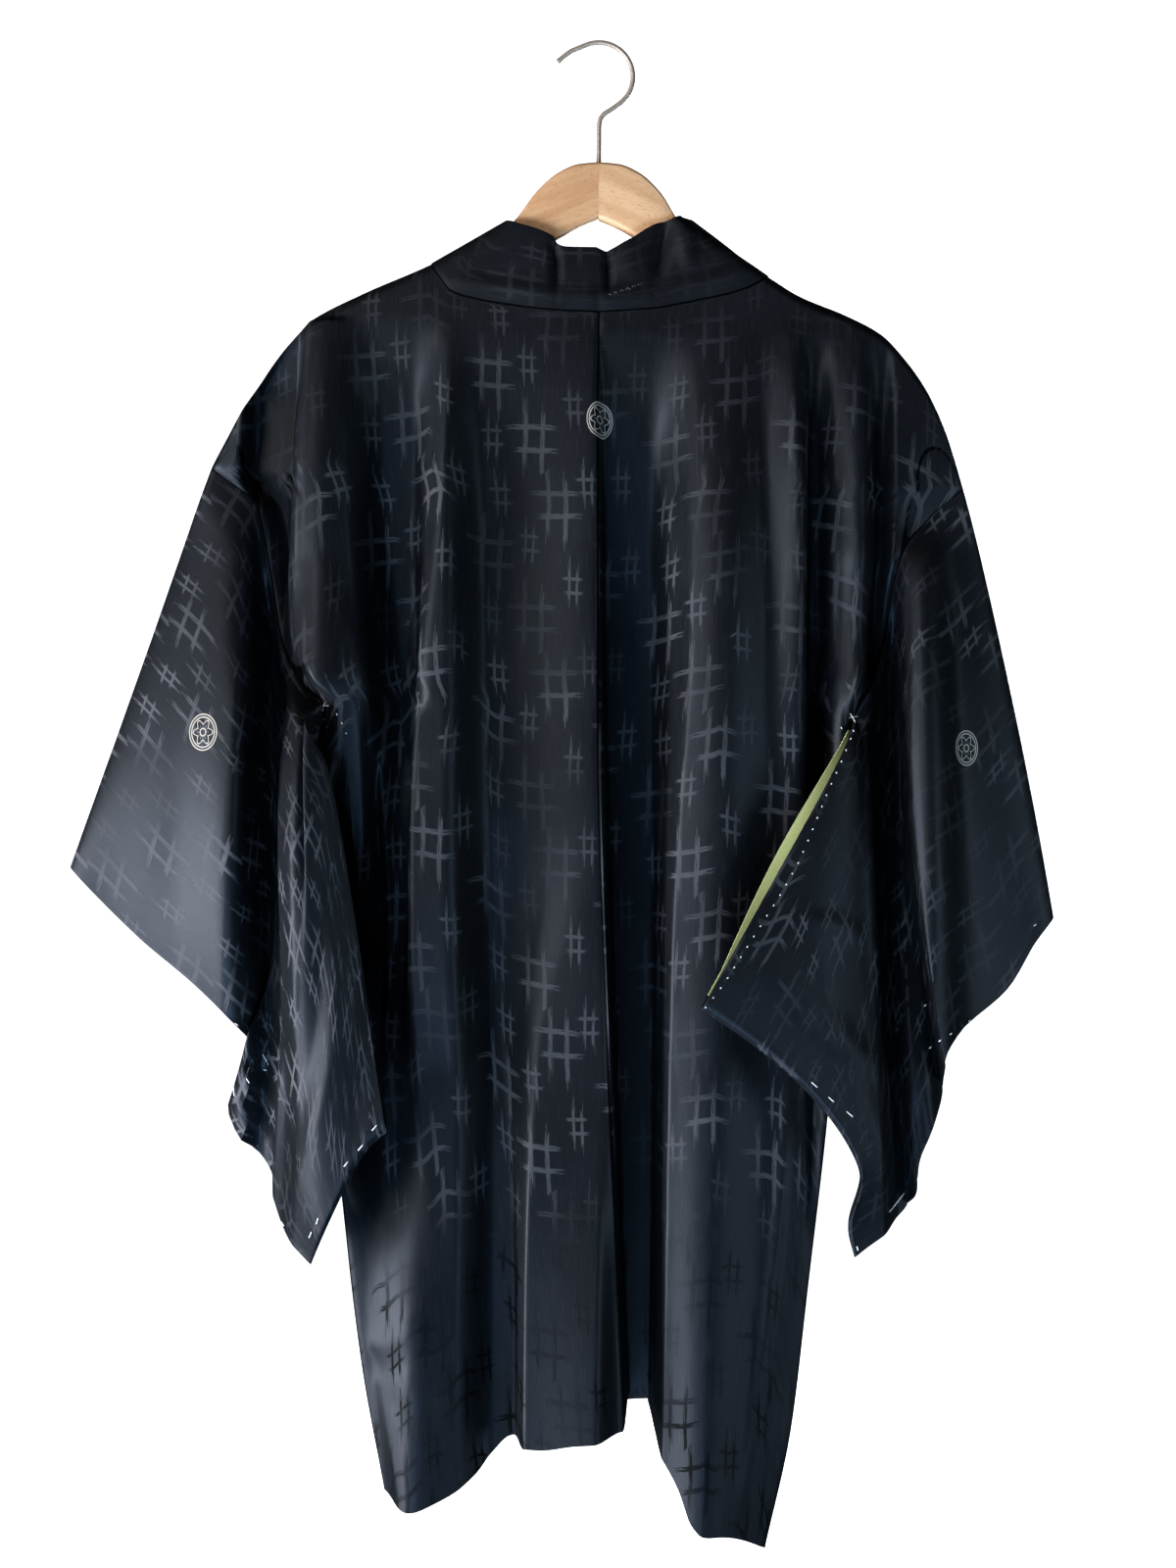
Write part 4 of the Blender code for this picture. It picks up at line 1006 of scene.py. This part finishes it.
def nearest_crib(across, down, spots):
    """The distances across and down to the nearest of the repeat's spots, those across counting more."""
    found = []
    for x, y in spots:
        dx = (across - x).math("WRAP", REPEAT[0] / 2, -REPEAT[0] / 2)
        dy = (down - y).math("WRAP", REPEAT[1] / 2, -REPEAT[1] / 2)
        found.append((dx, dy, dx * dx * 2.2 + dy * dy))
    dx, dy, best = found[0]
    for next_dx, next_dy, score in found[1:]:
        closer = score < best
        dx = dx + (next_dx - dx) * closer
        dy = dy + (next_dy - dy) * closer
        best = best.math("MINIMUM", score)
    return dx, dy


def bars(paint, beside, along, shape, seed):
    """Two parallel bars of separate threads: each thread ends at its own length, so the ends look brushed."""
    apart, half_length, shift, half_width = shape
    side = beside.math("SIGN")
    thread = (beside * (1 / 0.62)).math("FLOOR")
    reach = paint.noise(paint.place(thread * 0.731, seed, side * 3.0), 1.0, 0.0)
    length = half_length * (reach * 1.5 + 0.12)
    off = abs(abs(beside) - apart)
    inside = 1 - off.soft(half_width * 0.75, half_width * 1.45)
    ends = 1 - (abs(along + side * shift) - length).soft(-2.2, 1.8)
    broken = paint.noise(paint.place(thread * 1.37, along * 0.11, seed + 7.0), 1.0, 1.0)
    return inside * ends * broken.soft(0.30, 0.46)


def cribs(paint, across, down, spots, shape, seed):
    """Two bars down and two bars across, one pair over the other, at every spot."""
    dx, dy = nearest_crib(across, down, spots)
    over = bars(paint, dx, dy, shape["down"], seed)
    return over.math("MAXIMUM", bars(paint, dy, dx, shape["across"], seed + 3.0))


def damask(paint, across, down):
    """1 on the well-crib figures and 0 on the ground, their places and lengths a little uneven."""
    wander = paint.noise(paint.place(across * 0.02, down * 0.02, 0.0), 1.0, 1.0) - 0.5
    across, down = across + wander * 5, down + wander * 4
    large = cribs(paint, across, down, LARGE_CRIBS, LARGE_SHAPE, 0.0)
    small = cribs(paint, across, down, SMALL_CRIBS, SMALL_SHAPE, 11.0)
    return large.math("MAXIMUM", small)


def medallion(x, y, wide, tall):
    """A plain round badge in thin lines: two rings, a six-lobed flower whose edge is a radius of
    0.56 + 0.13 cos(6 angle), a small ring and twelve rays; x and y run from its middle."""
    x, y = x * (1 / wide), y * (1 / tall)
    radius = (x * x + y * y).math("SQRT")
    angle = y.math("ARCTAN2", x)
    thin = 0.038  # half a line's width

    def line(where):
        """1 near this radius."""
        return 1 - abs(radius - where).soft(thin * 0.55, thin * 1.25)

    petals = line(0.56 + (angle * 6).math("COSINE") * 0.13)
    rays = 1 - abs((angle * 6).math("SINE")).soft(0.06, 0.18)
    rays = rays * radius.soft(0.26, 0.30) * (1 - radius.soft(0.38, 0.42))
    rings = line(0.955).math("MAXIMUM", line(0.80)).math("MAXIMUM", line(0.20))
    return rings.math("MAXIMUM", petals).math("MAXIMUM", rays) * (radius < 1.1)


def silk(name, badge=None, strength=1.0, turns=False, raised=FIGURE):
    """Black damask: a smooth satin ground with duller, greyer figures. badge is a row of BADGES. If it
    turns, the figures fade over the shoulders and darken below the ground towards the hem, both painted shade
    for how the light falls on the satin; raised is the figures' colour otherwise, own or a painted-light
    copy."""
    paint = Paint(name)
    across, down = paint.cloth_point()
    point, (x, y, z) = paint.object_point()
    seen = paint.noise(point, 0.011, 1.0, 0.5).soft(0.36, 0.60) * 0.75 + 0.25
    # over the shoulders and to the right the figures fade: painted shade where the light brings them out less
    if turns:
        seen = seen * (1 - z.soft(*FADE_UP) * (x.soft(*FADE_RIGHT) * 0.45 + 0.40))
    figure = damask(paint, across, down) * strength * seen
    cloud = paint.noise(point, 0.012, 3.0, 0.55)
    slub = paint.noise(paint.place(across * 1.4, down * 0.05, 0.0), 1.0, 2.0)
    grain = paint.noise(paint.place(across * 2.2, down * 2.2, 4.0), 1.0, 2.0)
    ground = paint.mix(cloud.soft(0.35, 0.7), GROUND_DARK, GROUND_LIGHT)
    ground = paint.mix(slub.soft(0.45, 0.75) * 0.12, ground, FIGURE)
    # towards the hem the figures turn darker than the ground: painted shade for the satin's turned sheen
    figure_colour_with_painted_light = paint.mix(z.soft(*FIGURES_TURN), FIGURE_PAINTED_SHADE, FIGURE) if turns else (*raised, 1)
    bump = paint.bump(grain * 0.5 + slub * 0.5 + figure * 0.35, 0.35, 0.00035)
    smooth = paint.shade({"Base Color": ground, "Roughness": 0.41 + cloud * 0.10 - slub * 0.05,
                          "Normal": bump, "Specular IOR Level": GROUND_GLOSS, "Specular Tint": GROUND_TINT})
    matt = paint.shade({"Base Color": figure_colour_with_painted_light, "Roughness": 0.62 + slub * 0.1,
                        "Normal": bump, "Specular IOR Level": 0.05})
    # a near-black line along every seam: painted shade in the seam's groove
    seam = paint.node("ShaderNodeAttribute", {"attribute_name": "seam"}, (), out=2)
    sunk = paint.shade({"Base Color": SEAM_PAINTED_SHADE, "Roughness": 0.9, "Specular IOR Level": 0.0})
    shader = paint.join(seam.soft(0.80, 0.90) * 0.9, paint.join(figure, smooth, matt), sunk)
    if badge:
        middle_x, middle_z, wide, tall, back_ends = badge
        mark = medallion(x - middle_x, z - middle_z, wide / 2, tall / 2)
        mark = mark * (y < 0.0 if back_ends is None else down < back_ends)
        ink = paint.shade({"Base Color": paint.mix(slub, THREAD, THREAD_PALE), "Roughness": 0.8,
                           "Normal": bump, "Specular IOR Level": 0.1})
        shader = paint.join(mark * 0.9, shader, ink)
    return paint.finish(shader)


def green_lining():
    """Thin lime-green silk, paler and darker in streaks along its threads."""
    paint = Paint("green_lining")
    across, down = paint.cloth_point()
    slub = paint.noise(paint.place(across * 0.5, down * 1.6, 0.0), 1.0, 3.0)
    colour = paint.mix(slub.soft(0.3, 0.7), (0.62, 0.75, 0.28), (0.78, 0.88, 0.42))
    return paint.coat(colour, 0.5 + slub * 0.1, {"Normal": paint.bump(slub, 0.2, 0.0003)})


def beech(name, side, light, dark, slope):
    """Steamed beech: long soft grain along the arm, whose slope is its cosine and sine, with short dark
    flecks and clear lacquer."""
    paint = Paint(name)
    _, (x, y, z) = paint.object_point()
    along = x * slope[0] + z * slope[1]
    up = z * slope[0] - x * slope[1]
    rings = paint.noise(paint.place(along * 0.012, up * 0.11, y * 0.1 + 3.0 * side), 1.0, 4.0, 0.6)
    streak = paint.noise(paint.place(along * 0.05, up * 0.9, y * 0.9), 1.0, 3.0, 0.6)
    fleck = paint.noise(paint.place(along * 0.22, up * 1.5, y * 1.4), 1.0, 1.0, 0.5)
    colour = paint.mix(rings.soft(0.3, 0.7), light, dark)
    colour = paint.mix(streak.soft(0.45, 0.8) * 0.35, colour, dark)
    colour = paint.mix(fleck.soft(0.60, 0.68) * 0.55, colour, (0.33, 0.15, 0.06))
    bump = paint.bump(streak + fleck * 0.4, 0.12, 0.0004)
    return paint.coat(colour, 0.42 + streak * 0.12,
                      {"Coat Weight": 0.1, "Coat Roughness": 0.25, "Normal": bump})


def wire_steel():
    """Warm grey plated wire with fine lengthwise drawing marks."""
    paint = Paint("wire_steel")
    _, (x, y, z) = paint.object_point()
    marks = paint.noise(paint.place(x * 1.5, y * 3.0, z * 0.4), 1.0, 3.0)
    colour = paint.mix(marks.soft(0.3, 0.7), (0.30, 0.245, 0.19), (0.44, 0.37, 0.30))
    bump = paint.bump(marks, 0.05, 0.0002)
    return paint.coat(colour, 0.36 + marks * 0.14, {"Metallic": 0.4, "Normal": bump})


def cotton(name, dark, light):
    """Dull cotton thread: two plies twisted round each other show as slanted stripes, their darker part
    painted shade in the grooves between the plies.
    """
    paint = Paint(name)
    _, (x, _, z) = paint.object_point()
    twist = ((x + z * 0.7) * 7.0).math("SINE")
    # the darker stripes are painted shade in the grooves between the plies
    colour = paint.mix(twist.soft(-1.0, 1.0), dark, light)
    return paint.coat(colour, 0.75, {"Normal": paint.bump(twist, 0.2, 0.0002)})


def plain_pale():
    """The room: pale, with the faintest unevenness."""
    paint = Paint("plain_pale")
    point, _ = paint.object_point()
    cloud = paint.noise(point, 0.003, 2.0)
    colour = paint.mix(cloud, (0.90, 0.90, 0.90), (0.94, 0.94, 0.94))
    return paint.coat(colour, 0.9, {"Emission Color": (1, 1, 1, 1), "Emission Strength": WALL_GLOW})
def seen(points):
    """Where points are seen from the camera on the plane y = 0: x and height, along straight rays."""
    away = EYE[1] / (EYE[1] - points[..., 1])
    return np.stack([EYE[i] + (points[..., i] - EYE[i]) * away for i in (0, 2)], axis=-1)


def stitches(name, grounds, rows, finish, radius):
    """Short threads lying on the cloth that is seen at their middle, each from (x, height) to (x, height)
    on the plane y = 0: a tube whose middle lifts clear of the cloth along half a sine wave and whose
    radius falls off at its ends by an eighth power."""
    points = np.concatenate([points.reshape(-1, 3) for points, _ in grounds])
    normal = np.concatenate([normal.reshape(-1, 3) for _, normal in grounds])
    normal = normal * -np.sign(normal[:, 1:2])
    shown = normal[:, 1] < THREAD_FACING
    points, normal = points[shown], normal[shown]
    places = seen(points)
    steps = np.linspace(0, 1, THREAD_RINGS)
    ends = np.array([[0, 1, 2, 3], [0, 3, 4, 7], [4, 5, 6, 7]])
    whole, last = THREAD_RINGS * THREAD_AROUND, (THREAD_RINGS - 1) * THREAD_AROUND
    rings, faces = [], []
    for ax, az, bx, bz in rows:
        apart = (places[:, 0] - (ax + bx) / 2) ** 2 + (places[:, 1] - (az + bz) / 2) ** 2
        near = np.flatnonzero(apart < max(apart.min() * 1.2, THREAD_NEAR ** 2))
        best = near[np.argmin(points[near, 1])]
        facing = normal[best] / np.linalg.norm(normal[best]) - (0, THREAD_LEANS, 0)
        facing /= np.linalg.norm(facing)
        target = np.stack([ax + (bx - ax) * steps, 0 * steps, az + (bz - az) * steps], axis=-1)
        ray = target - np.array(EYE)
        line = EYE + ray * ((points[best] - EYE) @ facing / (ray @ facing))[:, None]
        lift = (SILK / 2 + radius * 0.55) * np.sin(np.pi * (0.12 + 0.76 * steps)) ** 0.5
        swell = radius * np.sqrt(np.clip(1 - (2 * steps - 1) ** 8, 0.03, 1))
        rings.append(tube(line + facing * lift[:, None], swell, THREAD_AROUND).reshape(-1, 3))
        faces.append(np.concatenate([ring_faces(THREAD_RINGS, THREAD_AROUND), ends[:, ::-1], ends + last])
                     + whole * (len(rings) - 1))
    return mesh_piece(name, np.concatenate(rings), np.concatenate(faces), finish)


def dots(route, count, size):
    """Tiny stitches spaced evenly along a route of (x, height) places, each along the route's own way."""
    route = np.asarray(route, float)
    length = run(route)
    at = np.linspace(0, length[-1], count)
    middle = np.stack([np.interp(at, length, route[:, i]) for i in range(2)], axis=-1)
    ahead = unit(np.gradient(middle, axis=0))
    return np.concatenate([middle - ahead * size / 2, middle + ahead * size / 2], axis=1).tolist()


def zigzag(start, end, teeth, reach):
    """Slanting stitches one after another between two (x, height) places, reaching to either side."""
    start, end = np.array(start, float), np.array(end, float)
    share = np.linspace(0, 1, teeth + 1)[:, None]
    way = (end - start) / np.linalg.norm(end - start)
    side = np.array([-way[1], way[0]]) * np.where(np.arange(teeth + 1) % 2, reach, -reach)[:, None]
    points = start + (end - start) * share + side
    return np.concatenate([points[:-1], points[1:]], axis=1).tolist()


# Threads: rings along each and corners round it; x and height where each starts and where it ends, as
# seen on the plane y = 0
THREAD_RINGS, THREAD_AROUND = 9, 8
THREAD_FACING = -0.15  # threads lie only on cloth whose facing has at most this y
THREAD_NEAR = 3.0  # on the frontmost point within this distance
THREAD_LEANS = 1.5  # and the plane that a thread lies in leans this much towards the camera
STITCHES = [
    # the two crossed tacks at the underarms
    (-203.8, -485.3, -195.8, -485.6), (-200.2, -481.7, -203, -490), (181.4, -494.6, 190.1, -493.2),
    (184.3, -491, 188.6, -498.2),
    # dots beside them
    (-192.6, -491, -191.9, -492.5), (-189, -497.5, -188.3, -499), (-186.1, -504.7, -185.4, -506.2),
    (-202, -494.6, -201.2, -496.1), (-199.8, -500.3, -199.1, -501.9), (177.8, -501.1, 178.6, -502.6),
    (186.5, -503.2, 187.2, -504.8),
    # the thread end at the left cuff
    (-247, -740.9, -243.4, -747.4), (-243.4, -747.4, -240.5, -753.8), (-248.4, -752.4, -240.5, -753.8),
    # tacking along the left sleeve's lower edges
    (-163, -793.4, -166.7, -797.8), (-172.9, -807.5, -177, -812.5), (-184.1, -820.3, -187.4, -824.2),
    (-205.9, -861.6, -207.4, -866.4), (-210.7, -871.8, -212.7, -876.4), (-233.1, -864.4, -230.5, -867.9),
    (-256, -795.2, -253.8, -798.9), (-252.4, -806, -250.2, -809.7), (-268.2, -765, -267.4, -772.9),
    (-258.9, -759.2, -256.6, -762.9), (-283.2, -708.6, -279.8, -711.2), (-275.8, -713.9, -272.9, -716),
    (-268.1, -718, -264.7, -720.6), (-362.7, -638.8, -360.2, -641.4),
    # tacking along the right sleeve's lower edges
    (206.6, -865.4, 224.6, -843.1), (156, -761.8, 160.8, -766), (168.5, -772.8, 172.8, -776.6),
    (181.9, -783.4, 186.8, -787.6), (189.5, -882.5, 190.6, -885.9),
    # dots along the right cuff
    (238.8, -706.3, 240.7, -704.9), (242.4, -737.3, 244.3, -735.9), (249.6, -732.2, 251.5, -730.8),
    (257.6, -727.2, 259.4, -725.8), (265.5, -722.1, 267.3, -720.7), (271.2, -717.8, 273.1, -716.4),
    (284.2, -707.7, 286, -706.3), (319.5, -647.3, 321.3, -645.9),
]
# Dots along the right sleeve's open edge, and where the slanting tacks on the collar start and end
EDGE_DOTS = ((185, -509.8), (177.1, -529.2), (168.5, -547.9), (159.1, -571.7), (146.9, -600.5),
             (133.9, -623.5), (118.8, -647.3), (105.1, -668.9), (91.4, -690.5), (78.5, -707))
COLLAR_TACKS = ((5.8, -185), (36.7, -174.2))

# Lamps: name, place and aim in metres, size, power, colour, share in reflections, share in scattered light
LAMPS = (
    ("left", (-2.1, -0.75, -0.98), (0, 0, -0.75), (0.6, 1.1), 98, (0.96, 0.95, 1.0), 0.8, 0.6),
    ("left_low", (-1.7, -1.1, -1.5), (0, 0, -0.8), (0.7, 0.9), 30, (0.96, 0.96, 1.0), 0.3, 1.0),
    ("front", (-1.6, -2.1, 0.35), (0, 0, -0.5), (0.8, 0.8), 26, (1.0, 0.91, 0.82), 0.0, 1.0),
    ("right", (1.9, -1.0, -0.9), (0, 0, -0.7), (0.7, 1.4), 15, (0.76, 0.91, 1.0), 0.15, 1.0),
    ("low", (-0.35, -1.4, -2.2), (0, 0, -1.0), (1.2, 0.6), 54, (0.45, 0.70, 1.0), 1.0, 0.0),
    ("behind", (0.7, 2.3, -0.2), (0, 0, -0.6), (1.2, 1.2), 60, (0.96, 0.97, 1.0), 0.5, 1.0),
)
# The round room: its radius, the radius of its rounded corners, its floor and ceiling, and the radius of
# the small flat middle of each
ROOM_RADIUS, ROOM_ROUND, FLOOR, CEILING, ROOM_EYE = 6000, 1500, -1600, 4500, 50
WORLD_LIGHT = 0.003


def backdrop():
    """A pale round room, so that every side is seen against it: a floor that curves up into a wall and
    the wall into a ceiling by quarters of a circle, all turned about the upright axis."""
    turn = np.linspace(0, np.pi / 2, 12)
    inner = ROOM_RADIUS - ROOM_ROUND
    foot = np.stack([inner + ROOM_ROUND * np.sin(turn), FLOOR + ROOM_ROUND - ROOM_ROUND * np.cos(turn)], -1)
    head = np.stack([inner + ROOM_ROUND * np.cos(turn), CEILING - ROOM_ROUND + ROOM_ROUND * np.sin(turn)], -1)
    profile = np.concatenate([[(ROOM_EYE, FLOOR)], foot, head, [(ROOM_EYE, CEILING)]])
    around = np.linspace(0, 2 * np.pi, 96, endpoint=False)
    points = np.stack(np.broadcast_arrays(profile[:, :1] * np.cos(around), profile[:, :1] * np.sin(around),
                                          profile[:, 1:]), axis=-1)
    rows, columns = points.shape[:2]
    faces = ring_faces(rows, columns).tolist()
    faces += [list(range(columns)), list(range(rows * columns - 1, (rows - 1) * columns - 1, -1))]
    mesh = bpy.data.meshes.new("backdrop")
    mesh.from_pydata((points.reshape(-1, 3) * MM).tolist(), [], faces)
    mesh.shade_smooth()
    mesh.materials.append(plain_pale())
    piece = put("backdrop", mesh)
    piece.visible_glossy = piece.visible_diffuse = piece.visible_shadow = False


def area_light(name, place, aim, size, power, colour, gloss, spread):
    """A rectangular lamp at a place in metres, turned towards a point; gloss and spread are its shares in
    reflections and in scattered light."""
    data = bpy.data.lights.new(name, "AREA")
    data.shape = "RECTANGLE"
    data.size, data.size_y = size
    data.energy = power
    data.color = colour
    data.specular_factor = gloss
    data.diffuse_factor = spread
    lamp = put(name, data)
    lamp.location = place
    lamp.rotation_euler = (Vector(aim) - Vector(place)).to_track_quat("-Z", "Y").to_euler()


def world(strength):
    """A faint cool light from all round."""
    made = bpy.data.worlds.new("studio")
    made.use_nodes = True
    back = made.node_tree.nodes["Background"]
    back.inputs["Color"].default_value = (0.93, 0.96, 1.0, 1)
    back.inputs["Strength"].default_value = strength
    bpy.context.scene.world = made


def camera():
    """Square to the garment's back, at EYE."""
    data = bpy.data.cameras.new("camera")
    data.lens, data.sensor_width = 46.87, 36.0
    data.clip_start, data.clip_end = 0.05, 30
    made = put("camera", data)
    made.location = [value * MM for value in EYE]
    made.rotation_euler = (np.pi / 2, 0, 0)
    bpy.context.scene.camera = made
    bpy.context.scene.view_settings.view_transform = "Standard"


def main():
    """Every cloth, the hanger, the threads, then the lamps, the room and the camera."""
    silk_body = silk("silk_body", BADGES["body"], turns=True)
    # the left sleeve's figures are the lighter copy: painted light for that brightly lit sleeve
    silks = {"left": silk("silk_left_sleeve", BADGES["left"], raised=FIGURE_PAINTED_LIGHT),
             "right": silk("silk_right_sleeve", BADGES["right"])}
    silk_collar = silk("silk_collar", strength=0.25)
    grounds, grids, flats = [], {}, {}
    for side in SIDES:
        flats["body_" + side], grids[side], normal = body_cloth(side, silk_body)
        grounds.append((grids[side], normal))
        flats["machi_" + side] = gusset_cloth(side, grids[side], silk_body)
    for side in SIDES:
        back, front, drops, under = sleeve_layers(side, grids[side])
        flats["sleeve_" + side], *ground = sleeve_cloth(side, back, front, drops, under, silks[side])
        grounds.append(ground)
    flats["lining"] = lining_cloth(front, drops, under, green_lining())
    flats["collar"], *collar = collar_cloth(grids, silk_collar)
    hanger_half("left", beech("beech_left", -1, (0.60, 0.36, 0.19), (0.47, 0.25, 0.12), (0.94, 0.34)))
    hanger_half("right", beech("beech_right", 1, (0.68, 0.43, 0.24), (0.57, 0.33, 0.17), (0.90, -0.44)))
    hook(wire_steel())
    stitches("white_tacks", grounds, STITCHES + dots(EDGE_DOTS, 26, 1.2),
             cotton("white_thread", (0.62, 0.62, 0.60), (0.85, 0.85, 0.83)), 0.42)
    stitches("grey_tacks", [collar], zigzag(*COLLAR_TACKS, 14, 1.5),
             cotton("grey_thread", (0.050, 0.055, 0.064), (0.075, 0.082, 0.094)), 0.32)
    world(WORLD_LIGHT)
    for lamp in LAMPS:
        area_light(*lamp)
    backdrop()
    camera()


main()
